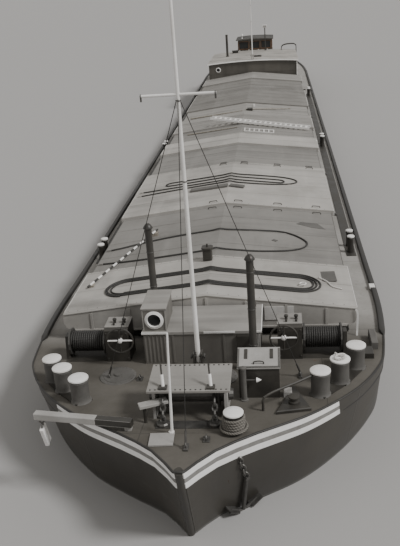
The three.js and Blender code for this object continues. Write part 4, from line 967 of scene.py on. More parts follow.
def gangplank(start, end, width, rungs):
    """Two planks on edge with cross battens between them."""
    start, end = np.asarray(start, float), np.asarray(end, float)
    run = (end - start) / np.linalg.norm(end - start)
    side = np.cross(run, (0, 0, 1.0))
    side /= np.linalg.norm(side)
    rails = [slat(start + side * s * width / 2, end + side * s * width / 2, 0.022, 0.05) for s in (-1, 1)]
    share = np.linspace(0.04, 0.96, rungs)
    middles = start + (end - start) * share[:, None]
    battens = [slat(middle - side * width / 2, middle + side * width / 2, 0.045, 0.016)
               for middle in middles]
    return rails, battens


# The gangplank lies on the port slope of its cover and stands out over the starboard one
plank_top = RIDGE + STEP + 0.0262
plank_rails, plank_battens = gangplank((3.55, -0.75, plank_top + 0.75 * SLOPE),
                                       (3.92, 1.6, plank_top - 1.6 * SLOPE), 0.235, 19)
piece("gangplank_rails", plank_rails, WHITE, "hatch_cover_07", smooth=35)
piece("gangplank_battens", plank_battens, WHITE, "hatch_cover_07", smooth=35)
grate = [slat(on_roof(x, 0.07, 0.0, 0.013), on_roof(x, 0.76, 0.0, 0.013), 0.03, 0.026) for x in (4.3, 4.62)]
grate += [slat(on_roof(4.3, y, 0.0, 0.014), on_roof(4.62, y, 0.0, 0.014), 0.036, 0.02)
          for y in np.linspace(0.085, 0.745, 7)]
piece("wooden_grating", grate, EDGE_PALE, smooth=35)


def pole(start, end, radius):
    """A round pole lying on a slope, tapering a quarter to its end."""
    start, end = np.asarray(start, float), np.asarray(end, float)
    stops, sides = 24, 12
    share = np.linspace(0, 1, stops)[:, None]
    path = start + (end - start) * share
    rings = carried(path, disc(1.0, sides))[0][:stops * sides].reshape(stops, sides, 3)
    size = radius * (1 - 0.25 * share[:, :, None])
    return shell(path[:, None] + (rings - path[:, None]) * size)


dark_poles = [pole(on_roof(1.86, -1.46, 0.0, 0.02), on_roof(1.98, -0.06, 0.0, 0.02), 0.017),
              pole(on_roof(1.8, 0.02, 0.0, 0.02), on_roof(1.3, 1.1, 0.0, 0.02), 0.015),
              pole(on_roof(4.03, -1.3, 0.0, 0.017), on_roof(4.12, -0.1, 0.0, 0.017), 0.014)]
hook = curve([on_roof(1.3, 1.1, 0.0, 0.02), on_roof(1.26, 1.17, 0.0, 0.02), on_roof(1.2, 1.19, 0.0, 0.018),
              on_roof(1.18, 1.14, 0.0, 0.016)], 6)
dark_poles.append(carried(hook, disc(0.007, 8)))
piece("boat_hooks", dark_poles, TIMBER, smooth=60)
piece("pole_chock", [block((1.8, 0.06, 1.806), (1.98, 0.2, 1.88), 0.15)], BLACK, smooth=35)
piece("dark_planks",
      [slat(on_roof(9.34, -0.66, STEP, 0.017), on_roof(9.36, -0.02, STEP, 0.017), 0.15, 0.03),
       slat(on_roof(9.36, 0.02, STEP, 0.017), on_roof(9.4, 0.26, STEP, 0.017), 0.12, 0.03)],
      EDGE_DARK, smooth=35)
patch_points = np.array([(11.03, 1.09), (10.91, 1.18), (10.94, 1.4), (11.18, 1.51), (11.15, 1.31)])
patch_x, patch_y = patch_points.T
patch_rings = [xyz(patch_x, patch_y, roof_top(patch_y) + above) for above in (-0.001, 0.0035)]
piece("cover_patch", [shell(np.stack(patch_rings))], EDGE_DARK, smooth=30)
piece("cover_tag", [slat(on_roof(11.82, 0.745, 0.0, 0.004), on_roof(11.86, 0.8, 0.0, 0.004), 0.05, 0.008)],
      EDGE_DARK, smooth=30)


def banded_white(pitch):
    """White and black bands along a pole, by its own UV."""
    made = Finish("banded_pole_paint", rough=0.5)
    band = made.maths("PINGPONG", made.uv()[1], pitch)
    grime = made.noise(30.0, 5.0, 0.6)
    pale = made.spread(grime, 0.4, 0.7, grey(0.8, 0.02), grey(0.6, 0.04))
    dark = made.spread(grime, 0.4, 0.7, grey(0.03, 0.05), grey(0.06, 0.06))
    made.colour(made.spread(band, 0.48 * pitch, 0.52 * pitch, dark, pale))
    made.bump(grime, 0.001, 0.4)
    return made.material


sounding = even([on_roof(13.24, -1.55, STEP, 0.03), on_roof(11.3, -0.95, 0.0, 0.064)], 0.04)
rope_piece("sounding_pole", sounding, 0.014, banded_white(0.1), sides=12)
piece("pole_rests", [block((11.34, -1.02, 1.7), (11.42, -0.93, 1.762), 0.2),
                     block((13.12, -1.56, 1.66), (13.2, -1.49, 1.698), 0.2)], TIMBER, smooth=35)


# Fittings that come up again: barrels, caps, chain links, coils
def barrel_skin(x, y, radius, height, floor=None):
    """A smooth barrel on its foot flange, a bead under the cap."""
    z = on_deck(x) if floor is None else floor
    profile = [(1.17 * radius, -0.015), (1.17 * radius, 0.01), (radius + 0.006, 0.02),
               (radius + 0.0015, 0.05), (radius + 0.0015, height - 0.045), (radius + 0.006, height - 0.038),
               (radius + 0.006, height - 0.03), (radius + 0.0015, height - 0.024),
               (radius + 0.0015, height - 0.014)]
    return turned([(r, z + h) for r, h in profile], (x, y, 0), 2, 32)


def cap_skin(x, y, radius, height, thick, floor=None):
    """A flat cap with eased edges over a barrel."""
    z = (on_deck(x) if floor is None else floor) + height
    profile = [(0.5 * radius, z - thick - 0.003), (radius - 0.004, z - thick - 0.003),
               (radius + 0.002, z - thick + 0.002), (radius + 0.002, z - 0.002),
               (radius - 0.004, z + 0.003), (0.3 * radius, z + 0.005)]
    return turned(profile, (x, y, 0), 2, 36)


def chain_links(start, end, radius, thick):
    """Oval links along a line, every second one turned a quarter: a circle of the bar's thickness carried
    round (1.45 r cos a, r sin a), turned from the X axis to the line."""
    start, end = np.asarray(start, float), np.asarray(end, float)
    run = end - start
    along = run / np.linalg.norm(run)
    count = int(round(np.linalg.norm(run) / (2.9 * radius - 1.5 * thick)))
    angle = np.linspace(0, 2 * np.pi, 20, endpoint=False)
    flat = np.stack([1.45 * radius * np.cos(angle), radius * np.sin(angle), 0 * angle], -1)
    axis = np.cross((1.0, 0.0, 0.0), along)
    skew = np.array([[0, -axis[2], axis[1]], [axis[2], 0, -axis[0]], [-axis[1], axis[0], 0]])
    turn = np.eye(3) + skew + skew @ skew / (1 + along[0])
    links = []
    for k in range(count):
        loop = (flat[:, [0, 2, 1]] if k % 2 else flat) @ turn.T + start + run * (k + 0.5) / count
        normal = turn @ np.array((0.0, 1.0, 0.0) if k % 2 else (0.0, 0.0, 1.0))
        links.append(carried(loop, disc(thick * 1.12, 8), normal, closed=True))
    return links


def coil(centre, radius, pitch, turns, axis=2, start=0.0):
    """A helix: radius (cos a, sin a) with a rise of one pitch a turn, along the axis."""
    a = np.linspace(0, 2 * np.pi * turns, int(turns * 28) + 1) + start
    flat = [radius * np.cos(a), radius * np.sin(a)]
    rise = pitch * (a - start) / (2 * np.pi)
    order = {1: (flat[0], rise, flat[1]), 2: (flat[0], flat[1], rise)}[axis]
    return np.stack(order, -1) + np.asarray(centre, float)


BOW_PORT = [(14.785, 1.59), (15.11, 1.405), (15.365, 1.2)]
BOW_STARBOARD = [(15.0, -1.52), (15.225, -1.35), (15.465, -1.12)]
SIDE_POSTS = [(x + step, side * 1.88) for side in (1, -1) for x in (10.98, 3.88, -3.67)
              for step in (-0.13, 0.13)]
STERN_POSTS = [(-14.2 + step, side * 1.13) for side in (1, -1) for step in (-0.13, 0.13)]
ROPE_POST = (16.066, 0.412)
piece("bow_barrels", [barrel_skin(x, y, 0.088, 0.265) for x, y in BOW_PORT + BOW_STARBOARD], EDGE_DARK)
piece("bow_barrel_caps", [cap_skin(x, y, 0.097, 0.265, 0.016) for x, y in BOW_PORT + BOW_STARBOARD], WHITE)
piece("side_posts", [barrel_skin(x, y, 0.042, 0.25, 1.25) for x, y in SIDE_POSTS], BLACK)
piece("side_post_caps", [cap_skin(x, y, 0.052, 0.258, 0.02, 1.25) for x, y in SIDE_POSTS], WHITE)
piece("stern_posts", [barrel_skin(x, y, 0.058, 0.225) for x, y in STERN_POSTS], BLACK)
piece("stern_post_caps", [cap_skin(x, y, 0.068, 0.225, 0.014) for x, y in STERN_POSTS], WHITE)
piece("rope_post_cap", [cap_skin(*ROPE_POST, 0.088, 0.2, 0.015)], WHITE)
post_deck = on_deck(ROPE_POST[0])
rope_piece("rope_on_post", coil((*ROPE_POST, post_deck + 0.042), 0.0915, 0.0262, 4.3), 0.0135, ROPE_DARK)
rope_piece("rope_on_post_outer", coil((*ROPE_POST, post_deck + 0.03), 0.116, 0.0262, 1.2, start=2.0),
           0.0125, ROPE_DARK)
turn = np.linspace(0.1, 2 * np.pi - 0.1, 120)
bunch = xyz(15.11 + 0.055 * np.cos(2 * turn), 1.405 + 0.05 * np.sin(3 * turn),
            on_deck(15.11, 0.287) + 0.01 * np.sin(5 * turn))
rope_piece("rope_bunch_on_cap", even(bunch, 0.012), 0.01, ROPE_PALE)

# Windlass: light cover plate with its rows of bolts, white levers on their bases
top = on_deck(15.65, 0.335)
piece("windlass_cover_skin", [slat((15.428, 0, top + 0.0138), (15.882, 0, top - 0.0112), 0.756, 0.0225)],
      CABIN_TOP, bevel=0.002)
bolt_y = np.arange(-0.345, 0.35, 0.046)
piece("windlass_bolts",
      [rivets(xyz(x, bolt_y, top + lift), 0.01) for x, lift in ((15.452, 0.0238), (15.858, 0.001))], BLACK)
levers, bases, rods = [], [], []
for y in (-0.23, 0.205):
    levers.append(bar((15.82, y, top + 0.016), (15.779, y - 0.0104, top + 0.115), 0.0155, 14))
    bases.append(block((15.795, y - 0.037, top - 0.004), (15.862, y + 0.037, top + 0.02), 0.2))
    rods.append(bar((15.781, y - 0.01, top + 0.11), (15.745, y - 0.018, top + 0.2), 0.008, 10))
piece("windlass_levers", levers, WHITE)
piece("windlass_lever_bases", bases, BLACK)
piece("windlass_lever_rods", rods, BLACK)

# Winches: light top plate, dark knobs, wire wound on the drums, hand wheels with white spokes
winch_x, winch_y = 14.4, 0.93
winch_deck = on_deck(winch_x)
for side, sign in (("port", 1), ("starboard", -1)):
    low, high = (0.8, 1.06) if sign > 0 else (-1.06, -0.8)
    piece(f"{side}_winch_top", [block((14.252, low - 0.002, winch_deck + 0.397),
                                      (14.508, high + 0.002, winch_deck + 0.4045), 0.3)], CABIN_TOP)
    knobs = [turned([(0.016, 0.4), (0.016, 0.432), (0.022, 0.436), (0.022, 0.452), (0.012, 0.46)],
                    (winch_x, sign * winch_y + step, winch_deck), 2, 20) for step in (-0.035, 0.07)]
    bolts = [(winch_x + 0.161, sign * winch_y + b, winch_deck + c) for b in (-0.11, 0.11)
             for c in (0.05, 0.35)]
    piece(f"{side}_winch_knobs", knobs + [rivets(bolts, 0.01, 0)], BLACK)
    wound = coil((winch_x, 1.09 if sign > 0 else -1.456, winch_deck + 0.19), 0.1035, 0.0236, 15.5, axis=1)
    rope_piece(f"{side}_winch_wire", wound, 0.0112, WIRE_ROPE, f"{side}_winch_drum", up=(0.0, 1.0, 0.0))
    hub = np.array([14.67, sign * 0.865, winch_deck + 0.32])
    wheel = f"{side}_hand_wheel"
    upright, level = ([bar(hub + 0.012 * way, hub + 0.138 * way, 0.0095, 10, (1, 0, 0))
                       for way in (out, -out)]
                      for out in (np.array([0.0, 0.0, 1.0]), np.array([0.0, 1.0, 0.0])))
    shaft = bar(hub + (-0.15, 0, 0), hub + (0.016, 0, 0), 0.013, 16)
    piece(f"{side}_wheel_rim", [ring(hub, 0.14, 0.0105, 0, 48)] + upright + [shaft], BLACK, wheel,
          replaces=[wheel])
    piece(f"{side}_wheel_spokes", level
          + [turned([(0.006, -0.024), (0.026, -0.02), (0.026, 0.016), (0.016, 0.024), (0.004, 0.026)], hub,
                    0, 24)], WHITE, wheel)


# Locker: edging, straps and a handle on the lid
def on_lid(x, y, lift=0.0):
    """A point above the locker lid's face, which falls 70 mm in 230 mm forward."""
    return x, y, on_deck(15.315, 0.417 + lift) - (x - 15.2) * 70 / 230


lid_edge = [slat(on_lid(15.2, y, 0.001), on_lid(15.438, y, 0.001), 0.018, 0.008) for y in (0.428, 0.817)]
lid_edge.append(slat(on_lid(15.432, 0.42, 0.001), on_lid(15.432, 0.825, 0.001), 0.018, 0.008))
piece("locker_lid_edging", lid_edge, EDGE_DARK, "locker_lid")
lid_bits = [slat(on_lid(15.21, y, 0.003), on_lid(15.33, y, 0.003), 0.03, 0.008) for y in (0.5, 0.745)]
handle = [on_lid(15.395, y, lift)
          for y, lift in ((0.575, 0.0), (0.578, 0.022), (0.622, 0.03), (0.666, 0.022), (0.67, 0.0))]
lid_bits.append(carried(curve(handle, 5), disc(0.006, 10), (1, 0, 0)))
piece("locker_lid_fittings", lid_bits, BLACK, "locker_lid")

# Deck fittings round the windlass and along the bow
gear_deck = on_deck(15.47)
vent_pipe = [(0.04, -0.012), (0.04, 0.012), (0.0275, 0.018), (0.0275, 0.33), (0.032, 0.334),
             (0.032, 0.352), (0.02, 0.36)]
piece("deck_vent_pipe", [turned(vent_pipe, (15.475, 0.478, gear_deck), 2, 28)], EDGE_DARK)
piece("brake_lever", [bar((15.475, 0.5, 1.649), (15.475, 0.602, 1.649), 0.009, 12)], IRON)
piece("brake_lever_tip",
      [turned([(0.01, 0.596), (0.025, 0.6), (0.018, 0.618), (0.004, 0.645)], (15.475, 0, 1.649), 1, 24)],
      WHITE)
fairlead = np.array([(15.22, 0.95), (15.7, 1.1), (15.77, 0.78)])
lead_rings = []
for inward, lift in ((0.0, -0.006), (0.0, 0.026), (0.06, 0.034)):
    x, y = (fairlead + (fairlead.mean(0) - fairlead) * inward).T
    lead_rings.append(xyz(x, y, deck(x) + lift))
roller = [(0.052, 0.02), (0.052, 0.055), (0.036, 0.062), (0.036, 0.085), (0.052, 0.092), (0.052, 0.105),
          (0.03, 0.11)]
piece("fairlead_plate", [shell(lead_rings), turned(roller, (15.6, 0.945, on_deck(15.6)), 2, 28)], BLACK)
piece("deck_block_small",
      [block((15.335, 0.85, on_deck(15.39, -0.01)), (15.435, 0.93, on_deck(15.39, 0.06)), 0.2)], GREY)
piece("stem_plate",
      [slat((16.12, -0.218, on_deck(16.12, 0.01)), (16.33, -0.205, on_deck(16.33, 0.01)), 0.215, 0.014)],
      GREY)
piece("stem_plank", [slat((15.92, -0.45, 1.65), (15.815, -0.205, 1.65), 0.085, 0.03)], GREY)
piece("stem_plank_legs", [bar((x, y, on_deck(x, -0.01)), (x, y, 1.64), 0.016, 12, (1, 0, 0))
                          for x, y in ((15.9, -0.405), (15.835, -0.252))], BLACK)
piece("fender_board", [block((14.02, 1.8, 1.33), (14.35, 1.872, 1.43), 0.15)], EDGE_DARK)
piece("fender_block", [block((14.41, 1.69, 1.345), (14.58, 1.8, 1.425), 0.15)], BLACK)
eyes = []
for x, y in ((14.1, 1.3), (14.1, -1.3), (15.0, 0.62), (15.0, -0.62), (15.15, -0.15), (16.22, 0.18)):
    z = on_deck(x)
    eyes.append(slat((x - 0.045, y, z + 0.004), (x + 0.045, y, z + 0.004), 0.06, 0.012))
    eyes.append(ring((x, y, z + 0.026), 0.024, 0.0068, 1, 24))
piece("deck_eyes", eyes, IRON)
manholes = []
for x, y in ((14.94, -0.86), (14.98, 0.2), (-12.35, 1.1), (-12.35, -1.1)):
    z = on_deck(x)
    manholes.append(turned([(0.19, -0.012), (0.19, 0.014), (0.184, 0.018), (0.15, 0.019), (0.147, 0.024),
                            (0.04, 0.026), (0.036, 0.04), (0.01, 0.042)], (x, y, z), 2, 40))
    angle = np.linspace(0, 2 * np.pi, 16, endpoint=False)
    manholes.append(rivets(xyz(x + 0.17 * np.cos(angle), y + 0.17 * np.sin(angle), z + 0.0185), 0.009))
piece("manholes", manholes, EDGE_DARK)

# Cathead: light paint on the outer part of the timber and black on the inner, a white block and its chain
cat_low = on_deck(16.05, 0.047)


def on_cathead(share, lift):
    """A point at a share of the way from the timber's heel to its tip."""
    return 16.05 - 0.14 * share, -0.5 - 0.93 * share, cat_low + lift


piece("cathead_plank", [slat(on_cathead(0.36, 0.033), on_cathead(1.002, 0.033), 0.076, 0.068)], GREY,
      bevel=0.002)
piece("cathead_inner", [slat(on_cathead(-0.002, 0.032), on_cathead(0.362, 0.032), 0.073, 0.065)], BLACK)
chain_y = -1.375
block_at = np.array([15.886, chain_y, cat_low - 0.195])
block_run = np.array([math.sin(0.35), 0, math.cos(0.35)])
piece("cathead_block",
      [slat(block_at - block_run * 0.118, block_at + block_run * 0.118, 0.096, 0.04, (0, 1, 0), 0.3)],
      WHITE, bevel=0.003)
piece("cathead_chain",
      chain_links((15.922, chain_y, cat_low + 0.012), (15.922, chain_y, cat_low - 0.1), 0.02, 0.008), CHAIN,
      smooth=60)
piece("anchor_chain", chain_links((16.108, 0.503, 1.035), (16.19, 0.452, 1.29), 0.024, 0.008), CHAIN,
      smooth=60)

# Fore cabin: trims along the roof, ribbed front, doorway frame, hood's porthole, dark stovepipes
trims = [slat((14.6455, a, 1.7415), (14.6455, b, 1.7415), 0.008, 0.021)
         for a, b in ((-0.632, -0.362), (0.03, 0.36), (0.554, 0.632))]
trims.append(slat((14.645, 0.6355, 1.7415), (13.99, 0.6355, 1.7415), 0.008, 0.021))
piece("cabin_roof_trim", trims, WHITE)
ribs = [slat((14.633, y, 1.4), (14.633, y, 1.712), 0.014, 0.01, (1, 0, 0))
        for y in np.arange(-0.6, -0.34, 0.042)]
ribs += [slat((14.633, y, 1.385), (14.633, y, 1.712), 0.022, 0.01, (1, 0, 0)) for y in (-0.3, -0.02, 0.24)]
piece("cabin_front_ribs", ribs, CABIN)
jambs = [slat((14.635, y, 1.4), (14.635, y, 1.712), 0.011, 0.014, (1, 0, 0)) for y in (0.585, 0.6, 0.615)]
piece("cabin_door_jamb", jambs, GREY)
hand_rail = [(14.36, 0.56, 1.748), (14.36, 0.56, 1.8), (14.3, 0.56, 1.812), (14.1, 0.56, 1.812),
             (14.04, 0.56, 1.8), (14.04, 0.56, 1.748)]
piece("cabin_hand_rail", [carried(curve(hand_rail, 6), disc(0.009, 10), (0, 1, 0))], BLACK)
hood_port = (14.6, -0.49, 1.875, 0.072)
piece("hood_porthole", porthole(*hood_port), WHITE, smooth=50)
piece("hood_glass", [lens(*hood_port)], GLASS)
hood_edges = [slat((14.602, -0.622, 1.995), (14.602, -0.358, 1.995), 0.008, 0.02)]
hood_edges += [slat((14.105, y, 1.995), (14.606, y, 1.995), 0.01, 0.02) for y in (-0.619, -0.361)]
hood_edges += [slat((14.602, y, 1.755), (14.602, y, 1.99), 0.012, 0.01, (1, 0, 0)) for y in (-0.61, -0.37)]
hood_edges.append(block((14.1, -0.625, 1.998), (14.61, -0.355, 2.01), 0.3))
piece("hood_trim", hood_edges, CABIN_TOP)
pipes, bands = [], []
for x, y, foot, height in ((14.83, 0.555, 1.39, 2.65), (14.06, -0.562, 1.745, 2.75)):
    pipes.append(turned([(0.052, foot), (0.052, foot + 0.012), (0.0388, foot + 0.03),
                         (0.0388, height - 0.036), (0.053, height - 0.032), (0.053, height - 0.024),
                         (0.0385, height), (0.0215, height + 0.0195), (0.006, height + 0.023)], (x, y, 0),
                        2, 32))
    bands += [ring((x, y, z), 0.0392, 0.0045, 2, 32) for z in np.arange(foot + 0.3, height - 0.1, 0.4)]
piece("stovepipes", pipes, BLACK)
piece("stovepipe_bands", bands, IRON, smooth=60)

# Foremast: tapered white pole with its yard and irons, its pin, shrouds and stay with their deck eyes
mast_at = np.array([15.3, 0.042, 0.0])
pole_profile = [(0.0232, 1.87), (0.0232, 1.9), (0.0213, 2.6), (0.019, 3.4), (0.0158, 4.4), (0.0142, 5.05),
                (0.0138, 5.098)]
cap_profile = [(0.01, 5.094), (0.0235, 5.098), (0.0235, 5.106), (0.01, 5.1225)]
piece("foremast_skin", [turned(pole_profile, mast_at, 2, 28), turned(cap_profile, mast_at, 2, 24),
                        bar(mast_at + (0, -0.325, 4.3), mast_at + (0, 0.325, 4.3), 0.0125, 16, (1, 0, 0))],
      MAST, "foremast")
mast_irons = [ring(mast_at + (0, 0, z), 0.0195, 0.006, 2, 28) for z in (3.55, 4.25)]
mast_irons += [ring(mast_at + (0, y, 4.3), 0.0135, 0.005, 1, 20) for y in (-0.317, 0.317)]
mast_irons += [bar(mast_at + (0, y, 4.295), mast_at + (0, y, 4.253), 0.0082, 12, (1, 0, 0))
               for y in (-0.317, 0.317)]
piece("foremast_irons", mast_irons, IRON, "foremast", smooth=60)
shoe_deck = on_deck(mast_at[0])
pin_at = mast_at + (0, 0, 1.82)
pin = [bar(pin_at - (0, 0.066, 0), pin_at + (0, 0.066, 0), 0.0155, 20, (1, 0, 0)),
       turned([(0.026, -0.07), (0.026, -0.058), (0.014, -0.056)], pin_at, 1, 24),
       turned([(0.014, 0.056), (0.026, 0.058), (0.026, 0.07)], pin_at, 1, 24)]
piece("foremast_pin", pin, IRON, "foremast")
piece("mast_shoe_plate",
      [block((15.195, -0.068, shoe_deck - 0.02), (15.405, 0.152, shoe_deck + 0.018), 0.15)], BLACK)
for name, x, y, head in (("port_shroud", 14.98, 1.02, (0.0, 0.02, 4.24)),
                         ("starboard_shroud", 14.98, -0.94, (0.0, -0.02, 4.24)),
                         ("fore_stay", 16.36, 0.02, (0.02, 0.0, 4.26))):
    low, head = np.array([x, y, on_deck(x, 0.05)]), mast_at + head
    stay = rope_piece(name, even([low, head], 0.1), 0.0034, WIRE_ROPE, None, sides=8, up=(0.3, 0.5, 0.0))
    run = (head - low) / np.linalg.norm(head - low)
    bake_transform(stay)
    piece(name + "_eye", [block(low + (-0.05, -0.02, -0.056), low + (0.05, 0.02, -0.03), 0.2),
                          ring(low + (0, 0, -0.014), 0.022, 0.007, 1, 20),
                          bar(low, low + run * 0.11, 0.01, 12, (0.3, 0.5, 0.0))], IRON, smooth=60)


# Deckhouse: white band and corner post, porthole, windows, door, welds, chimney, lamp and mast
def camber(y, half, eaves, crown):
    """A roof's underside: crown - (crown - eaves) (y / half)^2."""
    return crown - (crown - eaves) * (y / half) ** 2


HOUSE_CAMBER = (1.62, 2.16, 2.235)
WHEEL_CAMBER = (0.735, 2.655, 2.69)
HOUSE_SIDE = 1.575
WHEEL_FRONT, WHEEL_BACK, WHEEL_SIDE = -9.345, -10.745, 0.665
house_y = np.linspace(-1.618, 1.618, 41)
band = xyz(-5.7825, house_y, camber(house_y, *HOUSE_CAMBER) + 0.017)
piece("deckhouse_roof_band", [carried(band, [(-0.004, -0.021), (0.004, -0.021), (0.004, 0.018),
                                             (0.002, 0.021), (-0.002, 0.021), (-0.004, 0.018)]),
                              block((-5.832, 1.556, 1.27), (-5.808, 1.582, 2.158), 0.2)], WHITE)
house_port = (-5.83, -1.24, 1.976, 0.062)
piece("deckhouse_porthole", porthole(*house_port), WHITE, smooth=50)
piece("deckhouse_porthole_glass", [lens(*house_port)], GLASS)
frames, panes = [], []
for side in (1, -1):
    for x in (-6.5, -7.4, -8.3):
        low, high = (x - 0.17, 1.76), (x + 0.17, 1.99)
        frames += [moulding(1, side * HOUSE_SIDE, low, high, side, 0.03, 0.014),
                   slat((x, side * 1.566, 1.76), (x, side * 1.566, 1.99), 0.02, 0.016, (0, 1, 0)),
                   block((x - 0.2, side * 1.59 - 0.018, 1.722), (x + 0.2, side * 1.59 + 0.018, 1.738), 0.2)]
        panes.append(pane(1, side * HOUSE_SIDE, low, high, side))
piece("deckhouse_window_frames", frames, WOOD, smooth=35)
piece("deckhouse_window_panes", panes, GLASS)
piece("deckhouse_door_frame", [block((-9.308, 0.776, 1.27), (-9.288, 0.804, 2.135), 0.2),
                               block((-9.308, 0.776, 2.106), (-9.288, 1.256, 2.135), 0.2)], WOOD)
piece("deckhouse_door_panels", [moulding(0, -9.3146, (0.87, 1.355), (1.19, 1.66), -1, 0.022, 0.008),
                                moulding(0, -9.3146, (0.87, 1.745), (1.19, 2.04), -1, 0.022, 0.008)], WOOD,
      "deckhouse_door")
weld_lines = [slat((x, side * 1.5765, 1.27), (x, side * 1.5765, 2.15), 0.006, 0.012, (1, 0, 0))
              for side in (1, -1) for x in (-6.95, -7.85, -8.75)]
weld_lines += [slat((-5.86, side * 1.578, 1.3), (-9.26, side * 1.578, 1.3), 0.012, 0.02)
               for side in (1, -1)]
weld_lines += [slat((-5.8275, -1.55, 1.83), (-5.8275, 1.54, 1.83), 0.006, 0.01)]
piece("deckhouse_seams", weld_lines, HOUSE)
y = np.linspace(-1.6, 1.6, 33)
roof_welds = [carried(xyz(x, y, camber(y, *HOUSE_CAMBER) + 0.035),
                      [(-0.01, -0.003), (0.01, -0.003), (0.008, 0.004), (-0.008, 0.004)])
              for x in (-6.65, -7.5, -8.35)]
piece("deckhouse_roof_seams", roof_welds, HOUSE_ROOF)
chimney = [(0.062, 2.225), (0.062, 2.262), (0.0435, 2.275), (0.0435, 3.012), (0.0605, 3.018),
           (0.0605, 3.024), (0.021, 3.0415), (0.006, 3.045)]
piece("deckhouse_chimney", [turned(chimney, (-7.67, -1.0, 0), 2, 32)], BLACK)
piece("deckhouse_lamp_post",
      [turned([(0.04, 2.24), (0.04, 2.29), (0.0195, 2.296), (0.0195, 3.116)], (-8.97, 0.425, 0), 2, 24)],
      BLACK)
piece("deckhouse_lamp_board", [block((-9.0225, 0.342, 3.1175), (-8.9175, 0.508, 3.2175), 0.12)], WHITE)
piece("deckhouse_lamp_face", [block((-8.919, 0.362, 3.135), (-8.912, 0.488, 3.2), 0.2)], GREY)
grille = [block((-7.06, 0.04, 2.258), (-6.66, 0.3, 2.288), 0.15)]
grille += [slat((x, 0.045, 2.292), (x, 0.295, 2.292), 0.018, 0.012) for x in np.linspace(-7.03, -6.69, 9)]
grille.append(block((-8.83, -0.86, 2.235), (-8.6, -0.64, 2.33), 0.12))
grille.append(block((-8.85, -0.88, 2.326), (-8.58, -0.62, 2.346), 0.3))
piece("deckhouse_roof_grille", grille, BLACK)
aft_profile = [(0.0215, 2.445), (0.0208, 2.47), (0.018, 3.1), (0.014, 3.8), (0.0108, 4.296), (0.019, 4.298),
               (0.019, 4.306), (0.008, 4.316)]
house_mast_x = -5.96
piece("deckhouse_mast_skin", [turned(aft_profile, (house_mast_x, 0, 0), 2, 28)], MAST, "deckhouse_mast")
mast_irons = [ring((house_mast_x, 0, z), 0.0168, 0.005, 2, 24) for z in (3.55, 4.1)]
mast_irons += [turned(profile, (house_mast_x, 0, 2.4), 1, 24)
               for profile in ([(0.014, -0.066), (0.024, -0.064), (0.024, -0.054), (0.013, -0.052)],
                               [(0.013, 0.052), (0.024, 0.054), (0.024, 0.064), (0.014, 0.066)])]
piece("deckhouse_mast_irons", mast_irons, IRON, "deckhouse_mast", smooth=60)

# Wheelhouse: frames and panes all round, door, white knobs under the front windows, roof edge, horn, base
sill_low, sill_high = 2.33, 2.59
frames, panes = [], []
openings = [(0, WHEEL_FRONT, y - 0.18, y + 0.18, 1) for y in (-0.44, 0.0, 0.44)]
openings += [(0, WHEEL_BACK, y - 0.23, y + 0.23, -1) for y in (-0.33, 0.33)]
openings += [(1, WHEEL_SIDE, -9.96, -9.46, 1), (1, -WHEEL_SIDE, -9.96, -9.46, -1),
             (1, -WHEEL_SIDE, -10.56, -10.06, -1)]
for axis, wall, a, b, out in openings:
    frames.append(moulding(axis, wall, (a, sill_low), (b, sill_high), out, 0.024, 0.014))
    near, far = np.sort([wall - 0.004, wall + out * 0.03])
    low, high = (near, a - 0.03), (far, b + 0.03)
    if axis == 1:
        low, high = low[::-1], high[::-1]
    frames.append(block((*low, 2.296), (*high, 2.308), 0.25))
    panes.append(pane(axis, wall, (a, sill_low), (b, sill_high), out))
piece("wheelhouse_window_frames", frames, WOOD, smooth=35)
piece("wheelhouse_window_panes", panes, GLASS)
leaf_y = WHEEL_SIDE + 0.0125
piece("wheelhouse_door_pane",
      [block((-10.433, leaf_y - 0.003, 2.327), (-10.167, leaf_y + 0.003, 2.593), 0.3)], GLASS,
      "wheelhouse_door")
panels = [moulding(1, leaf_y + 0.012, (-10.43, 2.33), (-10.17, 2.59), 1, 0.018, 0.008),
          moulding(1, leaf_y + 0.012, (-10.445, 1.42), (-10.155, 1.8), 1, 0.02, 0.008),
          moulding(1, leaf_y + 0.012, (-10.445, 1.88), (-10.155, 2.24), 1, 0.02, 0.008)]
piece("wheelhouse_door_panels", panels, WOOD, "wheelhouse_door")
knob = [(0.012, -0.004), (0.026, 0.0), (0.026, 0.012), (0.018, 0.022), (0.006, 0.026)]
piece("wheelhouse_knobs", [turned(knob, (WHEEL_FRONT, y, 2.282), 0, 24) for y in (-0.6, -0.24, 0.14, 0.5)],
      WHITE)
wheel_y = np.linspace(-0.733, 0.733, 25)
wheel_edge = [carried(xyz(x, wheel_y, camber(wheel_y, *WHEEL_CAMBER) + 0.015),
                      [(-0.004, -0.019), (0.004, -0.019), (0.004, 0.019), (-0.004, 0.019)])
              for x in (-9.2725, -10.8175)]
wheel_edge += [slat((-9.275, side * 0.7375, 2.67), (-10.815, side * 0.7375, 2.67), 0.008, 0.038)
               for side in (1, -1)]
piece("wheelhouse_roof_edge", wheel_edge, EDGE_DARK)
piece("wheelhouse_roof_seams", [carried(xyz(x, wheel_y, camber(wheel_y, *WHEEL_CAMBER) + 0.031),
                                        [(-0.012, -0.003), (0.012, -0.003), (0.01, 0.004), (-0.01, 0.004)])
                                for x in (-9.8, -10.3)], WHEEL_ROOF)
piece("wheelhouse_horn", [turned([(0.03, 2.69), (0.03, 2.712), (0.013, 2.72), (0.013, 2.8), (0.032, 2.812),
                                  (0.034, 2.86), (0.02, 2.88)], (-9.62, -0.5, 0), 2, 28)], WHITE)
piece("wheelhouse_base", [slat((-9.339, -0.66, 1.34), (-9.339, 0.66, 1.34), 0.012, 0.03),
                          slat((-9.38, -0.671, 1.34), (-10.71, -0.671, 1.34), 0.012, 0.03)], HOUSE)
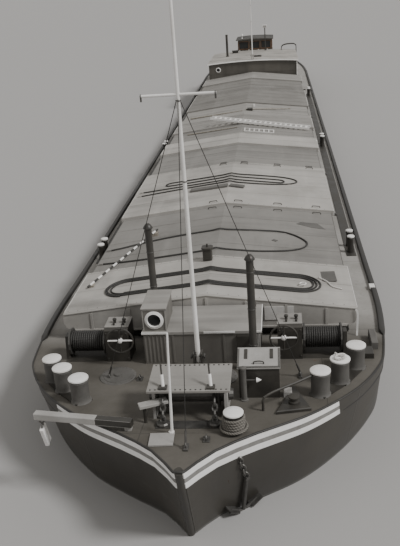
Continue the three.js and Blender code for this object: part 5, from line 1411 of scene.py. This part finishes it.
stiles = [curve([(x, 1.625, 1.242), (x, 1.625, 2.3), (x, 1.6, 2.4), (x, 1.52, 2.45), (x, 1.25, 2.45),
                 (x, 1.09, 2.4), (x, 1.05, 2.3), (x, 1.045, 2.215)], 8) for x in (-8.86, -9.14)]
rungs = [bar((-8.86, 1.625, z), (-9.14, 1.625, z), 0.01, 12) for z in np.linspace(1.4, 2.15, 6)]
holders = [bar((x, 1.572, z), (x, 1.625, z), 0.009, 12) for x in (-8.86, -9.14) for z in (1.5, 2.02)]
piece("roof_ladder", [carried(path, disc(0.0125, 12), (1, 0, 0)) for path in stiles] + rungs + holders,
      BLACK)

# Stern: hatch dogs and handle, quadrant rim, rudder straps, steering rods in their guides
hatch_top = on_deck(-13.44, 0.155)
dogs = []
for x in (-13.74, -13.52):
    for side in (1, -1):
        y = side * 0.213
        dogs.append(block((x - 0.018, y - 0.012, hatch_top - 0.09),
                          (x + 0.018, y + 0.012, hatch_top + 0.006), 0.2))
        dogs.append(turned([(0.014, 0.0), (0.014, 0.014), (0.007, 0.02)], (x, side * 0.19, hatch_top), 2,
                           16))
handle = [(-13.63, y, hatch_top + lift)
          for y, lift in ((-0.07, -0.002), (-0.066, 0.026), (0.0, 0.032), (0.066, 0.026), (0.07, -0.002))]
dogs.append(carried(curve(handle, 6), disc(0.007, 10), (1, 0, 0)))
piece("after_hatch_fittings", dogs, BLACK)
rudder_x, quadrant = -15.8, 0.333
rudder_deck = on_deck(rudder_x)
arc = np.linspace(-np.pi / 4, np.pi / 4, 30) + np.pi
rim = xyz(rudder_x + quadrant * np.cos(arc), quadrant * np.sin(arc), rudder_deck + 0.074)
rim_section = [(-0.01, -0.018), (0.008, -0.018), (0.008, -0.012), (0.002, -0.006), (0.002, 0.006),
               (0.008, 0.012), (0.008, 0.018), (-0.01, 0.018)]
stock_head = [(0.075, 0.084), (0.075, 0.108), (0.052, 0.116), (0.046, 0.128), (0.01, 0.132)]
piece("quadrant_rim", [carried(rim, rim_section), turned(stock_head, (rudder_x, 0, rudder_deck), 2, 36)],
      IRON, "rudder", smooth=50)
straps = [slat((-15.755, side * 0.0275, z), (-16.45, side * 0.0275, z), 0.008, 0.046) for side in (1, -1)
          for z in (0.2, 0.42)]
piece("rudder_straps", straps, IRON, "rudder")


def rod_way(x):
    """How far from the middle a steering rod runs: in to the quadrant at its after end."""
    return np.interp(x, [-15.3, -14.6, -10.8], [0.43, 0.56, 0.56])


rods, guides = [], []
for side in (1, -1):
    x = np.linspace(-15.3, -10.8, 30)
    rods.append(carried(xyz(x, side * rod_way(x), deck(x) + 0.058), disc(0.01, 10)))
    for x in (-15.1, -14.6, -13.9, -13.1, -12.3, -11.5, -10.95):
        y, z = side * float(rod_way(x)), on_deck(x)
        guides.append(block((x - 0.02, y - 0.03, z - 0.012), (x + 0.02, y + 0.03, z + 0.044), 0.15))
        guides.append(ring((x, y, z + 0.058), 0.017, 0.006, 0, 16))
piece("steering_rods", rods, IRON)
piece("steering_rod_guides", guides, BLACK)

# Small things on the covers and side decks
piece("cover_clamp", [block((5.15, 1.676, 1.56), (5.22, 1.7, 1.655), 0.2)], WHITE, "hatch_cover_05")
piece("cover_white_fitting", [block((1.175, 0.195, 1.796), (1.235, 0.245, 1.862), 0.15)], WHITE)
piece("rail_white_block", [block((12.48, 1.985, 1.292), (12.6, 2.055, 1.322), 0.2)], WHITE)
piece("tarred_sheet",
      [slat(on_roof(12.93, 1.4, STEP, 0.003), on_roof(13.24, 1.41, STEP, 0.003), 0.22, 0.01)], EDGE_DARK)
lashing = curve([on_roof(13.16, 1.3, STEP, 0.016), on_roof(13.27, 1.395, STEP, 0.014),
                 on_roof(13.4, 1.455, STEP, 0.01), on_roof(13.45, 1.56, STEP, 0.009)], 8)
rope_piece("pale_lashing", lashing, 0.0085, ROPE_PALE)
piece("hank_ring", [ring(on_roof(13.44, 1.105, STEP, 0.033), 0.036, 0.0075, 2, 28)], WHITE, smooth=60)
filler = [(0.052, -0.004), (0.052, 0.01), (0.036, 0.016), (0.036, 0.026), (0.012, 0.03)]
piece("side_deck_fillers", [turned(filler, (x, side * 1.79, DECK_LEVEL), 2, 24)
                            for x in (9.3, 6.6, 0.3, -1.6, -4.9) for side in (1, -1)], IRON)

# Stage and light
floor_data = bpy.data.meshes.new("floor")
reach = 2000
corners = [(-reach, -reach), (reach, -reach), (reach, reach), (-reach, reach)]
floor_data.from_pydata([(x, y, WATERLINE) for x, y in corners], [], [(0, 1, 2, 3)])
floor = bpy.data.objects.new("floor", floor_data)
floor_finish = Finish("floor", rough=0.9)
floor_finish.shader.inputs["Base Color"].default_value = (0.365, 0.357, 0.348, 1.0)
floor_data.materials.append(floor_finish.material)
bpy.context.scene.collection.objects.link(floor)

world = bpy.data.worlds.new("studio")
world.use_nodes = True
world.node_tree.nodes["Background"].inputs[0].default_value = (1.0, 0.985, 0.96, 1.0)
world.node_tree.nodes["Background"].inputs[1].default_value = 0.55
bpy.context.scene.world = world
sun_data = bpy.data.lights.new("sun", "SUN")
sun_data.energy, sun_data.angle = 2.6, math.radians(12)
sun = bpy.data.objects.new("sun", sun_data)
sun.rotation_euler = (math.radians(-42), math.radians(20), 0.0)
bpy.context.scene.collection.objects.link(sun)
